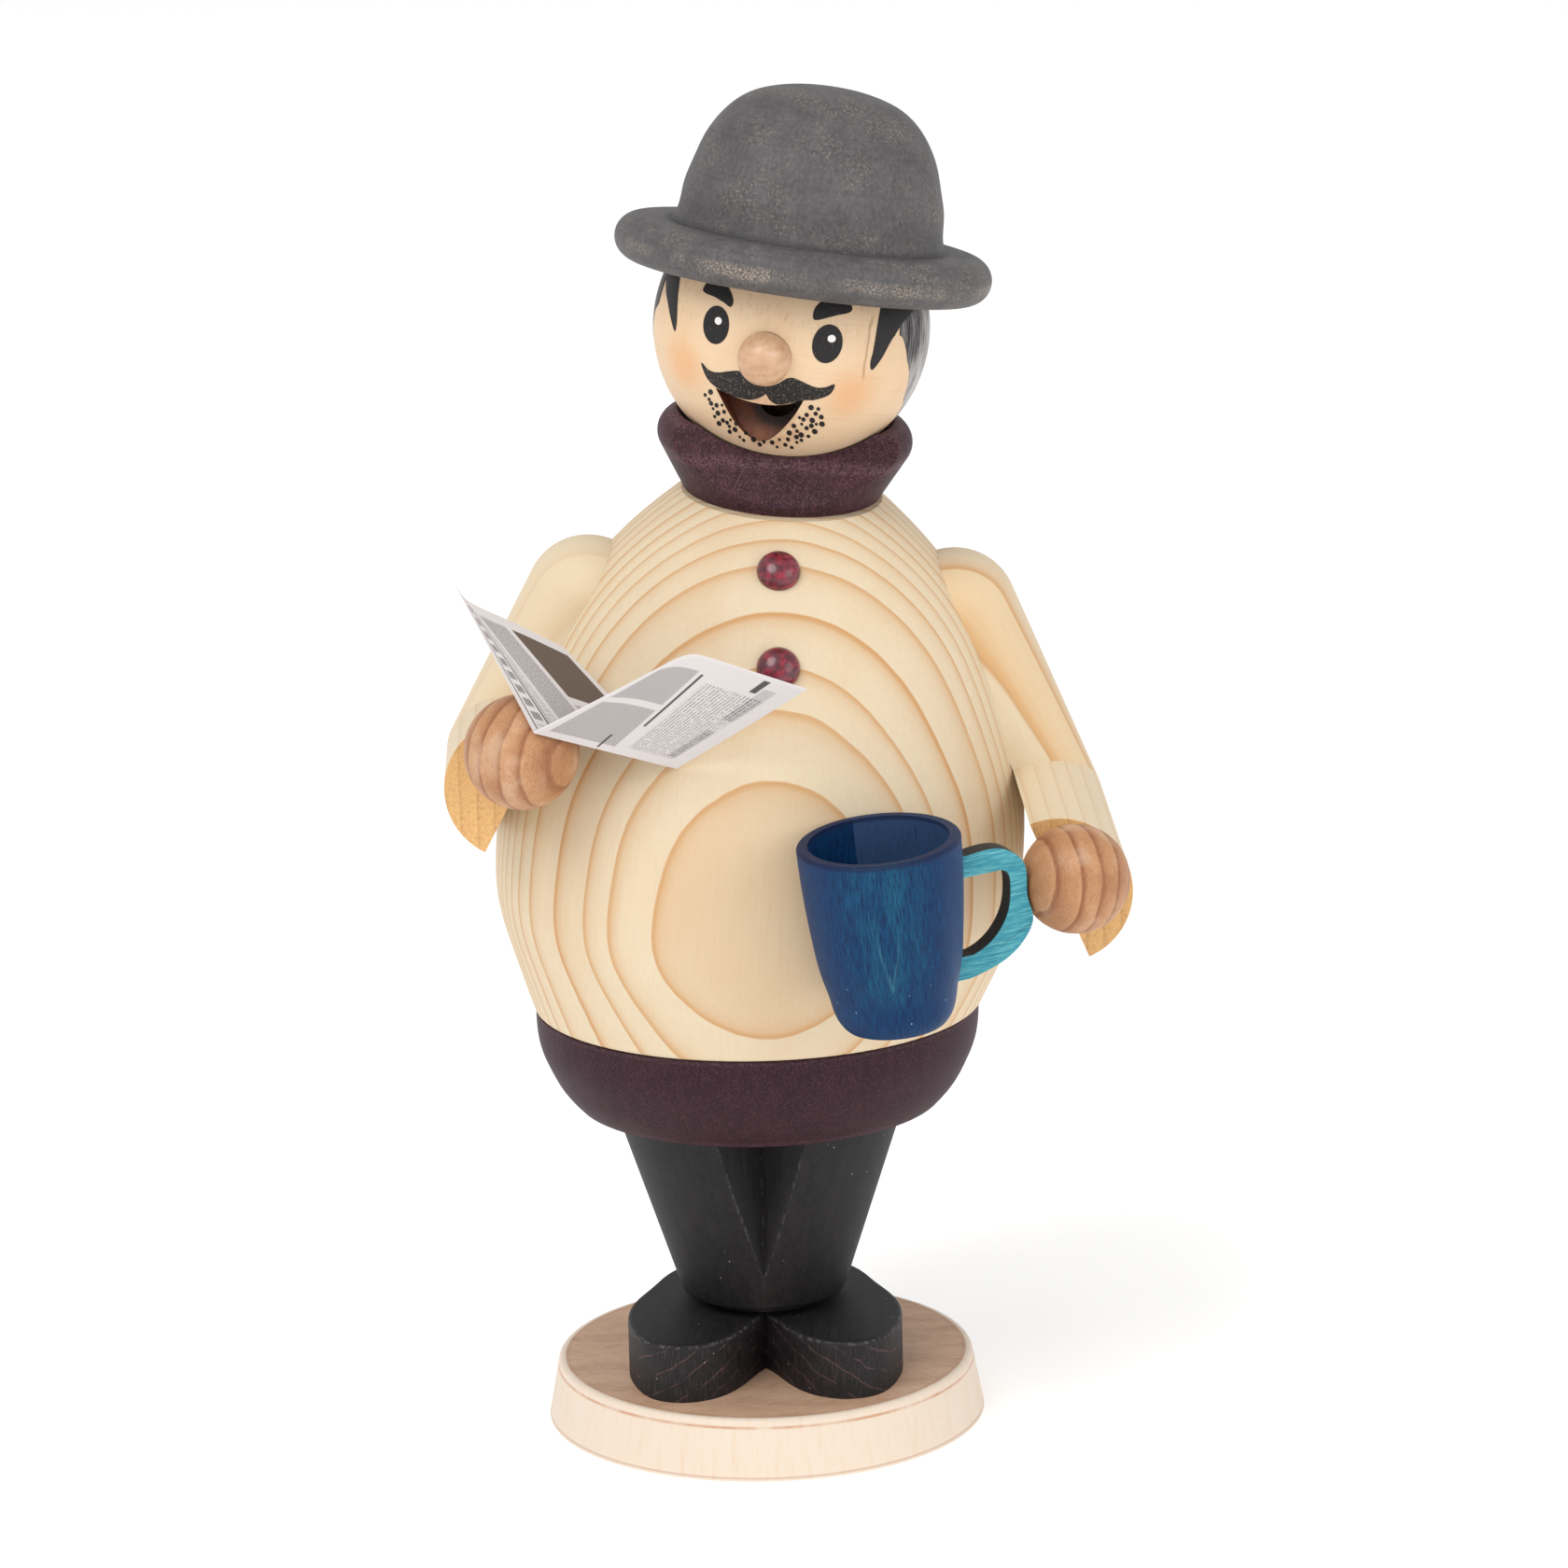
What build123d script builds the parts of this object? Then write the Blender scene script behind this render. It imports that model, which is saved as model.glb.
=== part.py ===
from build123d import *
import math
import os

# A turned wooden incense smoker. The figure lifts off the dish at its waist, a cone of
# incense burns on a tin plate inside the hollow coat, and the smoke leaves by the mouth.
# Millimetres, +Z up, the front towards -Y, the origin at the centre of the base's underside.
# Left and right are the figure's own: its right hand, at -X, holds the newspaper.

# Fits and small common sizes
glue_gap = 0.05
seat_gap = 0.1
overrun = 5.0
peg_end_gap = 0.5

# Base plate
base_radius = 30.0
base_top_radius = 28.45
base_height = 8.2
base_edge_round = 0.7

# Shoes
shoe_height = 8.1
shoe_length = 36.6
shoe_width = 18.7
shoe_heel_y = 15.5
shoe_top_round = 0.7
shoe_peg_radius = 2.0
shoe_peg_offset = 4.6
shoe_peg_depth = 5.0

# Trousers
trousers_foot_radius = 11.12
trousers_top_radius = 20.18
trousers_foot_z = 17.5
trousers_boss_radius = 8.0
trousers_foot_round = 0.9
groove_depth_y = 12.8
groove_angle = 90.0

# Waist dish and its spigot
dish_foot_z = 45.2
dish_foot_radius = 24.9
dish_rim_radius = 30.08
dish_height = 13.3
dish_edge_round = 0.35
spigot_radius = 17.8
spigot_height = 8.0
spigot_chamfer = 0.8
waist_peg_radius = 4.0
waist_peg_depth = 9.0

# Tin plate for the incense cone
tray_radius = 11.0
tray_rim_height = 2.0
tin_thickness = 0.4
cone_radius = 6.0
claw_height = 5.0
claw_width = 3.6
nail_radius = 0.6
nail_head_radius = 1.6
nail_head_height = 0.5
nail_length = 7.0

# Coat, turned about an axis that leans towards +X
torso_lean = 4.7
torso_foot_x = -0.9
torso_radius = 35.6
torso_height = 70.9
torso_edge_round = 0.6
cavity_clearance = 0.4
cavity_depth = 45.5
air_hole_radius = 2.5
air_hole_height = 14.0

# Neck tube and collar
neck_tube_radius = 5.0
neck_tube_wall = 1.5
neck_tube_sink = 12.0
neck_tube_rise = 6.0
collar_pitch = 5.5
collar_foot_radius = 13.15
collar_rim_radius = 16.65
collar_rim_z = 6.1
collar_tip_radius = 14.9
collar_tip_z = 9.9
collar_flare_lift = 1.6
collar_flare_radius = 19.85
facet_slope = 42.0
facet_y = 14.0
facet_z = 1.5

# Head, a ball turned and tilted on the neck
head_radius = 18.3
head_height = 21.85
head_yaw = -11.0
head_pitch = -3.1
head_roll = 9.17
brim_seat_z = 6.2
smoke_bore_top = 6.0

# Nose and mouth
nose_radius = 3.5
nose_stand = 0.7
nose_drop = 7.83
mouth_width = 12.0
mouth_height = 6.6
mouth_top_z = 7.7
mouth_centre_x = -0.5
mouth_floor_y = 11.0
mouth_floor_slope = 15.0
smoke_hole_radius = 2.6
smoke_hole_x = 1.1
smoke_hole_z = 8.3

# Hat
brim_radius = 25.15
brim_height = 6.05
brim_offset_x = 0.3
crown_radius = 18.25
crown_height = 19.7
crown_offset_x = 0.35
hat_peg_radius = 3.0
hat_peg_depth = 8.0

# Coat buttons
button_radius = 2.85
button_height = 2.1
button_shank_radius = 1.0
button_shank_length = 4.0
upper_button_drop = 6.95
lower_button_drop = 18.2
upper_button_turn = -0.6
lower_button_turn = 0.7

# Arms, half-round rod with its flat towards the coat
rod_radius = 9.6
shoulder_round = 8.2
arm_peg_radius = 1.5
arm_peg_height = 21.0
arm_peg_sink = 8.0
arm_peg_rise = 7.0
right_arm_spread = 28.0
right_elbow_x = 31.4
right_elbow_z = 93.4
right_upper_length = 32.0
right_forearm_droop = -3.7
right_forearm_reach = 24.0
left_arm_spread = 22.8
left_elbow_x = 37.85
left_elbow_z = 84.7
left_upper_length = 37.3
left_forearm_droop = 11.8
left_forearm_reach = 26.0

# Hands, balls pegged to the end grain of the forearms
right_hand_radius = 7.5
right_hand_up = 6.35
right_hand_out = 2.3
left_hand_radius = 7.15
left_hand_up = 2.5
left_hand_out = 2.88
hand_flat = 0.4
hand_peg_length = 9.0

# Mug, held by the far side of its handle, whose place is set from the left hand's centre
mug_hold_x = -5.35
mug_hold_y = -1.67
mug_hold_z = -14.27
mug_side_lean = -4.5
mug_front_lean = 4.66
mug_radius = 10.65
mug_height = 25.0
mug_wall = 1.5
mug_floor = 3.5
mug_rim_round = 0.5
handle_yaw = 20.0
handle_reach = 19.6
handle_thickness = 2.8

# Newspaper, one folded sheet glued to the right hand and to the coat
paper_thickness = 0.4
paper_size = 24.0
paper_foot_height = 39.45
paper_foot_turn = -21.2

# Outlines as shares of the sizes they follow
shoe_outline_shares = [
    (0.085, 0.275), (0.225, 0.125), (0.396, 0.032), (0.603, 0.0), (0.795, 0.038), (0.935, 0.165),
    (1.0, 0.36), (0.955, 0.53), (0.83, 0.70), (0.68, 0.88), (0.47, 0.98), (0.2, 1.0),
]
shoe_apex_share = 0.36
halving_end_share = 0.000001
dish_outline_shares = [
    (0.8278, 0.0), (0.861, 0.081), (0.9017, 0.2), (0.9445, 0.38), (0.9837, 0.6),
    (0.9983, 0.8), (1.0, 1.0),
]
torso_outline_shares = [
    (0.78, -0.08), (0.848, 0.0), (0.916, 0.0846), (0.983, 0.1834), (1.0, 0.3103), (0.980, 0.4513),
    (0.896, 0.6065), (0.775, 0.7616), (0.63, 0.8745), (0.44, 0.972), (0.30, 1.03),
]
crown_outline_shares = [
    (1.0, 0.0), (0.963, 0.104), (0.948, 0.249), (0.905, 0.404), (0.855, 0.554), (0.768, 0.71),
    (0.665, 0.824), (0.54, 0.907), (0.412, 0.953), (0.2, 0.992), (0.0, 1.0),
]
mug_outline_shares = [
    (0.62, 0.0), (0.725, 0.07), (0.788, 0.187), (0.845, 0.28), (0.912, 0.459), (0.968, 0.703),
    (1.0, 1.0),
]
button_outline_shares = [(1.0, 0.0), (0.93, 0.4), (0.72, 0.72), (0.4, 0.93), (0.0, 1.0)]
mouth_lip_shares = [(-0.495, 0.0), (-0.16, -0.14), (0.13, -0.16), (0.5, 0.07)]
mouth_chin_shares = [
    (0.42, -0.256), (0.30, -0.59), (0.01, -1.0), (-0.248, -0.685), (-0.40, -0.27),
]
handle_outer_shares = [
    (0.586, 0.828), (0.693, 0.835), (0.818, 0.825), (0.905, 0.788), (0.972, 0.72),
    (0.975, 0.53), (1.0, 0.41), (0.945, 0.325), (0.822, 0.24), (0.669, 0.19), (0.519, 0.162),
]
handle_inner_shares = [
    (0.80, 0.712), (0.848, 0.69), (0.862, 0.61), (0.83, 0.48), (0.722, 0.357), (0.554, 0.286),
]
handle_root_share = 0.36
paper_grip_shares = (0.248, -0.897, 0.554)
paper_back_shares = [(-0.42, 0.58, 0.69), (-0.34, 0.53, 0.60), (0.15, 0.667, 0.308)]
paper_front_shares = [
    (0.755, -0.223, 0.4255), (0.846, -0.240, 0.457), (0.946, -0.236, 0.438), (1.2, -0.2017, 0.339),
    (1.454, -0.167, 0.24),
]

os.makedirs("parts", exist_ok=True)


def profile_plane(frame):
    """The plane through a turning axis: x is the radius, y runs along the axis."""
    return Plane(origin=frame.origin, x_dir=frame.x_dir, z_dir=frame.y_dir * -1)


def turning_axis(frame):
    return Axis(frame.origin, frame.z_dir)


def place(frame, x, y, z):
    return frame.origin + frame.x_dir * x + frame.y_dir * y + frame.z_dir * z


def moved(frame, x, y, z):
    """The same directions, from another origin."""
    return Plane(origin=place(frame, x, y, z), x_dir=frame.x_dir, z_dir=frame.z_dir)


def scaled(shares, width, height):
    return [(x * width, y * height) for x, y in shares]


def finish(builder, name):
    """Labels a finished piece and writes it under its own name."""
    builder.part.label = name
    export_step(builder.part, f"parts/{name}.step")


def peg(name, frame, bottom, top, radius):
    """A straight dowel along a frame's axis, from one height to another."""
    with BuildPart() as dowel:
        with BuildSketch(frame.offset(bottom)):
            Circle(radius)
        extrude(amount=top - bottom)
    finish(dowel, name)


# Frames that several pieces share
waist_z = dish_foot_z + dish_height
shoe_top_z = base_height + shoe_height
torso_foot_z = waist_z + seat_gap
cavity_radius = spigot_radius + cavity_clearance

lean_x = Vector(1, 0, 0).rotate(Axis.Y, torso_lean)
lean_z = Vector(0, 0, 1).rotate(Axis.Y, torso_lean)
lean_frame = Plane(origin=(torso_foot_x, 0, waist_z), x_dir=lean_x, z_dir=lean_z)

collar_origin = place(lean_frame, 0, 0, torso_height)
collar_z = lean_z.rotate(Axis((0, 0, 0), lean_x), collar_pitch)
collar_frame = Plane(origin=collar_origin, x_dir=lean_x, z_dir=collar_z)

head_centre = place(lean_frame, 0, 0, torso_height + head_height)
head_x = Vector(1, 0, 0).rotate(Axis.Z, head_yaw).rotate(Axis.X, head_pitch).rotate(Axis.Y, head_roll)
head_z = Vector(0, 0, 1).rotate(Axis.X, head_pitch).rotate(Axis.Y, head_roll)
head_frame = Plane(origin=head_centre, x_dir=head_x, z_dir=head_z)
brim_frame = moved(head_frame, brim_offset_x, 0, brim_seat_z)
crown_frame = moved(brim_frame, crown_offset_x, 0, brim_height)
hat_peg_frame = brim_frame.offset(brim_height)
face_frame = Plane(origin=head_centre, x_dir=head_frame.x_dir, z_dir=head_frame.y_dir * -1)

# Base plate
shoe_peg_places = {"right": -shoe_peg_offset, "left": shoe_peg_offset}

with BuildPart() as base_plate:
    with BuildSketch(Plane.XZ):
        with BuildLine():
            Polyline((0, 0), (base_radius, 0), (base_top_radius, base_height), (0, base_height), close=True)
        make_face()
    revolve(axis=Axis.Z)
    fillet(base_plate.edges().group_by(Axis.Z)[-1], base_edge_round)
    for peg_x in shoe_peg_places.values():
        with Locations((peg_x, 0, base_height)):
            Hole(shoe_peg_radius + glue_gap, depth=shoe_peg_depth + peg_end_gap)
finish(base_plate, "base_plate")


def shoe_outline(side):
    """The sole seen from above: x grows outwards, y runs from the toe to the heel."""
    toe_y = shoe_heel_y - shoe_length
    apex = (0, toe_y + shoe_apex_share * shoe_length)
    edge_points = [(side * x * shoe_width, toe_y + y * shoe_length) for x, y in shoe_outline_shares]
    with BuildLine() as outline:
        around = Spline(apex, *edge_points)
        Line(around @ 1, (0, (around @ 1).Y))
        Line((0, (around @ 1).Y), apex)
    return outline.line


for name, side in (("right", -1), ("left", 1)):
    with BuildPart() as shoe:
        with BuildSketch(Plane.XY.offset(base_height)):
            add(shoe_outline(side))
            make_face()
        extrude(amount=shoe_height)
        fillet(shoe.edges().group_by(Axis.Z)[-1], shoe_top_round)
        with Locations((shoe_peg_places[name], 0, shoe_top_z)):
            Hole(shoe_peg_radius + glue_gap)
    finish(shoe, f"{name}_shoe")
    peg_plane = Plane(origin=(shoe_peg_places[name], 0, 0))
    peg(f"{name}_shoe_dowel", peg_plane, base_height - shoe_peg_depth, shoe_top_z + shoe_peg_depth,
        shoe_peg_radius)

# Trousers, a cone with a groove cut down its front
with BuildPart() as trousers:
    with BuildSketch(Plane.XZ):
        with BuildLine():
            Polyline(
                (0, shoe_top_z),
                (trousers_boss_radius, shoe_top_z),
                (trousers_boss_radius, trousers_foot_z),
                (trousers_foot_radius, trousers_foot_z),
                (trousers_top_radius, dish_foot_z),
                (0, dish_foot_z),
                close=True,
            )
        make_face()
    revolve(axis=Axis.Z)
    foot_edge = trousers.edges().filter_by(GeomType.CIRCLE).filter_by(
        lambda edge: abs(edge.radius - trousers_foot_radius) < glue_gap)
    fillet(foot_edge, trousers_foot_round)
    with BuildSketch(Plane.XY.offset(trousers_foot_z - overrun)):
        spread = math.tan(math.radians(groove_angle / 2)) * trousers_top_radius
        with BuildLine():
            Polyline(
                (0, -groove_depth_y),
                (-spread, -groove_depth_y - trousers_top_radius),
                (spread, -groove_depth_y - trousers_top_radius),
                close=True,
            )
        make_face()
    extrude(amount=dish_foot_z - trousers_foot_z + 2 * overrun, mode=Mode.SUBTRACT)
    for peg_x in shoe_peg_places.values():
        with Locations(Plane(origin=(peg_x, 0, shoe_top_z), z_dir=(0, 0, -1))):
            Hole(shoe_peg_radius + glue_gap, depth=shoe_peg_depth + peg_end_gap)
    with Locations((0, 0, dish_foot_z)):
        Hole(waist_peg_radius + glue_gap, depth=waist_peg_depth + peg_end_gap)
finish(trousers, "trousers")
peg("waist_dowel", Plane.XY, dish_foot_z - waist_peg_depth, dish_foot_z + waist_peg_depth, waist_peg_radius)

# Waist dish with the spigot that centres the coat
with BuildPart() as waist_dish:
    with BuildSketch(Plane.XZ):
        with BuildLine():
            outline_points = [
                (x, dish_foot_z + y) for x, y in scaled(dish_outline_shares, dish_rim_radius, dish_height)
            ]
            side = Spline(outline_points)
            spigot_top_z = waist_z + spigot_height
            Polyline(
                side @ 1,
                (spigot_radius, waist_z),
                (spigot_radius, spigot_top_z - spigot_chamfer),
                (spigot_radius - spigot_chamfer, spigot_top_z),
                (0, spigot_top_z),
                (0, dish_foot_z),
                side @ 0,
            )
        make_face()
    revolve(axis=Axis.Z)
    rim_edge = waist_dish.edges().filter_by(GeomType.CIRCLE).filter_by(
        lambda edge: abs(edge.radius - dish_rim_radius) < glue_gap)
    fillet(rim_edge, dish_edge_round)
    with Locations(Plane(origin=(0, 0, dish_foot_z), z_dir=(0, 0, -1))):
        Hole(waist_peg_radius + glue_gap, depth=waist_peg_depth + peg_end_gap)
    with Locations((0, 0, spigot_top_z)):
        Hole(nail_radius + glue_gap, depth=nail_length + peg_end_gap)
finish(waist_dish, "waist_dish")

# Pressed tin plate with three claws round the cone, and the nail that holds it
with BuildPart() as incense_tray:
    with BuildSketch(Plane.XY.offset(spigot_top_z)):
        Circle(tray_radius)
        Circle(nail_radius + glue_gap, mode=Mode.SUBTRACT)
    extrude(amount=tin_thickness)
    with BuildSketch(Plane.XY.offset(spigot_top_z)):
        Circle(tray_radius)
        Circle(tray_radius - tin_thickness, mode=Mode.SUBTRACT)
    extrude(amount=tray_rim_height)
    claw_plane = Plane.YZ.offset(cone_radius)
    with BuildSketch(claw_plane):
        with BuildLine():
            Polyline(
                (-claw_width / 2, spigot_top_z),
                (claw_width / 2, spigot_top_z),
                (0, spigot_top_z + claw_height),
                close=True,
            )
        make_face()
    claw = extrude(amount=tin_thickness)
    for turn in (120, 240):
        add(claw.rotate(Axis.Z, turn))
finish(incense_tray, "incense_tray")

with BuildPart() as tray_nail:
    head_z_bottom = spigot_top_z + tin_thickness
    with BuildSketch(Plane.XY.offset(head_z_bottom)):
        Circle(nail_head_radius)
    extrude(amount=nail_head_height)
    with BuildSketch(Plane.XY.offset(head_z_bottom)):
        Circle(nail_radius)
    extrude(amount=-nail_length)
finish(tray_nail, "tray_nail")

# The coat's outer form, which the arms and the mug are cut to
torso_side = Spline(scaled(torso_outline_shares, torso_radius, torso_height))


def coat_radius(height):
    """The coat's radius at a height along its leaning axis, found by halving."""
    low, high = 0.0, 1.0
    while high - low > halving_end_share:
        middle = (low + high) / 2
        if (torso_side @ middle).Y < height:
            low = middle
        else:
            high = middle
    return (torso_side @ low).X


def coat_slope(height):
    """How far the coat's surface looks upwards at a height, in degrees."""
    step = torso_height / 100
    change = coat_radius(height + step) - coat_radius(height - step)
    return math.degrees(math.atan2(-change, 2 * step))


def coat_frame(height, turn):
    """A frame on the coat's surface, its z along the surface normal, turned from the front."""
    outward = (lean_frame.y_dir * -1).rotate(Axis((0, 0, 0), lean_z), turn)
    slope = math.radians(coat_slope(height))
    normal = outward * math.cos(slope) + lean_z * math.sin(slope)
    point = lean_frame.origin + lean_z * height + outward * coat_radius(height)
    return Plane(origin=point, x_dir=lean_z.cross(outward), z_dir=normal)


with BuildPart() as torso_form:
    with BuildSketch(profile_plane(lean_frame)):
        with BuildLine():
            add(torso_side)
            Polyline(torso_side @ 1, (0, (torso_side @ 1).Y), (0, (torso_side @ 0).Y), torso_side @ 0)
        make_face()
    revolve(axis=turning_axis(lean_frame))
    split(bisect_by=Plane.XY.offset(torso_foot_z), keep=Keep.TOP)
    split(bisect_by=collar_frame, keep=Keep.BOTTOM)


# Arms: each is one half-round rod, mitred at the elbow in the plane of its flat
def arm_frame(side, spread, elbow_x, elbow_z):
    """At the elbow: z runs up the upper arm, x points out of the rod's round side."""
    up = Vector(0, 0, 1).rotate(Axis.Y, -side * spread)
    outward = Vector(side, 0, 0).rotate(Axis.Y, -side * spread)
    return Plane(origin=(side * elbow_x, 0, elbow_z), x_dir=outward, z_dir=up)


def peg_frame(frame):
    """Across the upper arm, from the flat outwards, where its dowel sits."""
    return Plane(origin=place(frame, 0, 0, arm_peg_height), z_dir=frame.x_dir)


right_arm_frame = arm_frame(-1, right_arm_spread, right_elbow_x, right_elbow_z)
left_arm_frame = arm_frame(1, left_arm_spread, left_elbow_x, left_elbow_z)
arm_frames = {"right": right_arm_frame, "left": left_arm_frame}


def build_arm(name, frame, upper_length, droop, reach, hand_radius, hand_up, hand_out):
    """Makes an upper arm, a forearm, a hand and their dowels, and returns the hand's centre."""
    lower_end = -2 * rod_radius
    angle = math.radians(droop)
    forward = Vector(0, -1, 0) * math.cos(angle) - frame.z_dir * math.sin(angle)
    forearm_frame = Plane(origin=frame.origin, x_dir=frame.x_dir, z_dir=forward)
    flat_plane = Plane(origin=frame.origin, z_dir=frame.x_dir)
    mitre_plane = Plane(origin=frame.origin, z_dir=frame.z_dir - forward)
    end_plane = Plane(origin=(0, -reach, 0), z_dir=(0, -1, 0))

    dowel_frame = peg_frame(frame)
    with BuildPart() as upper_arm:
        with BuildSketch(profile_plane(frame)):
            with BuildLine():
                Polyline((0, lower_end), (rod_radius, lower_end), (rod_radius, upper_length - shoulder_round))
                TangentArc(
                    (rod_radius, upper_length - shoulder_round),
                    (rod_radius - shoulder_round, upper_length),
                    tangent=(0, 1),
                )
                Polyline((rod_radius - shoulder_round, upper_length), (0, upper_length), (0, lower_end))
            make_face()
        revolve(axis=turning_axis(frame))
        split(bisect_by=flat_plane, keep=Keep.TOP)
        split(bisect_by=mitre_plane, keep=Keep.TOP)
        add(torso_form.part, mode=Mode.SUBTRACT)
        with Locations(Plane(origin=dowel_frame.origin, z_dir=dowel_frame.z_dir * -1)):
            Hole(arm_peg_radius + glue_gap, depth=arm_peg_rise + peg_end_gap)
    finish(upper_arm, f"{name}_upper_arm")
    peg(f"{name}_shoulder_dowel", dowel_frame, -arm_peg_sink, arm_peg_rise, arm_peg_radius)

    end_centre = frame.origin + forward * (reach / math.cos(angle))
    hand_seat = end_centre + frame.z_dir * hand_up + frame.x_dir * hand_out
    hand_centre = hand_seat + Vector(0, -1, 0) * (hand_radius - hand_flat)
    hand_peg_frame = Plane(origin=hand_seat, z_dir=(0, -1, 0))
    with BuildPart() as forearm:
        with BuildSketch(forearm_frame.offset(lower_end)):
            Circle(rod_radius)
        extrude(amount=reach + 4 * rod_radius)
        split(bisect_by=flat_plane, keep=Keep.TOP)
        split(bisect_by=mitre_plane, keep=Keep.BOTTOM)
        split(bisect_by=end_plane, keep=Keep.BOTTOM)
        add(torso_form.part, mode=Mode.SUBTRACT)
        with Locations(hand_peg_frame):
            Hole(arm_peg_radius + glue_gap, depth=hand_peg_length / 2 + peg_end_gap)
    finish(forearm, f"{name}_forearm")

    with BuildPart() as hand:
        with Locations(hand_centre):
            Sphere(hand_radius)
        split(bisect_by=end_plane, keep=Keep.TOP)
        with Locations(Plane(origin=hand_seat, z_dir=(0, 1, 0))):
            Hole(arm_peg_radius + glue_gap, depth=hand_peg_length / 2 + peg_end_gap)
    finish(hand, f"{name}_hand")
    peg(f"{name}_hand_dowel", hand_peg_frame, -hand_peg_length / 2, hand_peg_length / 2, arm_peg_radius)
    return hand_centre


right_hand_centre = build_arm("right", right_arm_frame, right_upper_length, right_forearm_droop,
                              right_forearm_reach, right_hand_radius, right_hand_up, right_hand_out)
left_hand_centre = build_arm("left", left_arm_frame, left_upper_length, left_forearm_droop,
                             left_forearm_reach, left_hand_radius, left_hand_up, left_hand_out)

# Buttons, round studs with a shank along the coat's surface normal
button_frames = {
    "upper": coat_frame(torso_height - upper_button_drop, upper_button_turn),
    "lower": coat_frame(torso_height - lower_button_drop, lower_button_turn),
}

# The coat itself: hollow, with a chimney to the neck and an air hole low at the back
cavity_top_z = waist_z + cavity_depth
with BuildPart() as torso:
    add(torso_form.part)
    fillet(torso.edges().group_by(Axis.Z)[0], torso_edge_round)
    with Locations(Plane(origin=(0, 0, waist_z), z_dir=(0, 0, -1))):
        Hole(cavity_radius, depth=cavity_depth)
    with Locations(lean_frame.offset(torso_height + overrun)):
        Hole(neck_tube_radius + glue_gap, depth=torso_height + overrun - cavity_depth / 2)
    with Locations(Plane(origin=(0, torso_radius + overrun, waist_z + air_hole_height), z_dir=(0, 1, 0))):
        Hole(air_hole_radius, depth=torso_radius + overrun)
    for frame in arm_frames.values():
        with Locations(peg_frame(frame).offset(rod_radius)):
            Hole(arm_peg_radius + glue_gap, depth=rod_radius + arm_peg_sink + peg_end_gap)
    for frame in button_frames.values():
        with Locations(frame):
            Hole(button_shank_radius + glue_gap, depth=button_shank_length + peg_end_gap)
finish(torso, "torso")

for name, frame in button_frames.items():
    with BuildPart() as button:
        with BuildSketch(profile_plane(frame)):
            with BuildLine():
                Spline(scaled(button_outline_shares, button_radius, button_height))
                Polyline(
                    (0, button_height),
                    (0, -button_shank_length),
                    (button_shank_radius, -button_shank_length),
                    (button_shank_radius, 0),
                    (button_radius, 0),
                )
            make_face()
        revolve(axis=turning_axis(frame))
    finish(button, f"{name}_button")

# Collar, with a round seat for the head and a flat cut under the chin
facet_normal = (collar_frame.y_dir * -math.cos(math.radians(facet_slope))
                + collar_frame.z_dir * math.sin(math.radians(facet_slope)))
facet_plane = Plane(origin=place(collar_frame, 0, -facet_y, facet_z), z_dir=facet_normal)
with BuildPart() as collar:
    with BuildSketch(profile_plane(collar_frame)):
        with BuildLine():
            flank = Line((collar_foot_radius, 0), (collar_rim_radius, collar_rim_z))
            rim = TangentArc(flank @ 1, (collar_tip_radius, collar_tip_z), tangent=flank % 1)
            Polyline(rim @ 1, (0, collar_tip_z), (0, 0), flank @ 0)
        make_face()
    revolve(axis=turning_axis(collar_frame))
    split(bisect_by=facet_plane, keep=Keep.BOTTOM)
    with Locations(head_centre):
        Sphere(head_radius + glue_gap, mode=Mode.SUBTRACT)
    with Locations(head_centre + lean_z * collar_flare_lift):
        Sphere(collar_flare_radius, mode=Mode.SUBTRACT)
    with Locations(lean_frame.offset(torso_height + collar_tip_z)):
        Hole(neck_tube_radius + glue_gap, depth=2 * collar_tip_z)
finish(collar, "collar")

# Neck tube, from the chimney through the collar into the head
head_foot = torso_height + head_height - head_radius
with BuildPart() as neck_tube:
    with BuildSketch(lean_frame.offset(torso_height - neck_tube_sink)):
        Circle(neck_tube_radius)
        Circle(neck_tube_radius - neck_tube_wall, mode=Mode.SUBTRACT)
    extrude(amount=neck_tube_sink + head_height - head_radius + neck_tube_rise)
finish(neck_tube, "neck_tube")

# The mouth is scooped out down to a slanted floor, and the smoke hole opens at its top
floor_angle = math.radians(mouth_floor_slope)
mouth_foot_z = -mouth_top_z - mouth_height
floor_normal = (face_frame.z_dir * math.cos(floor_angle) + face_frame.y_dir * math.sin(floor_angle))
mouth_floor = Plane(origin=place(face_frame, 0, mouth_foot_z, mouth_floor_y), z_dir=floor_normal)
with BuildPart() as mouth_cut:
    with BuildSketch(moved(face_frame, mouth_centre_x, -mouth_top_z, head_radius)):
        with BuildLine():
            lip = Spline(scaled(mouth_lip_shares, mouth_width, mouth_height))
            Spline(lip @ 1, *scaled(mouth_chin_shares, mouth_width, mouth_height), lip @ 0)
        make_face()
    extrude(amount=-head_radius)
    split(bisect_by=mouth_floor, keep=Keep.TOP)

# Nose, a small ball let into the face
nose_angle = math.radians(nose_drop)
nose_direction = face_frame.z_dir * math.cos(nose_angle) - face_frame.y_dir * math.sin(nose_angle)
nose_centre = head_centre + nose_direction * (head_radius + nose_stand)

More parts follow.
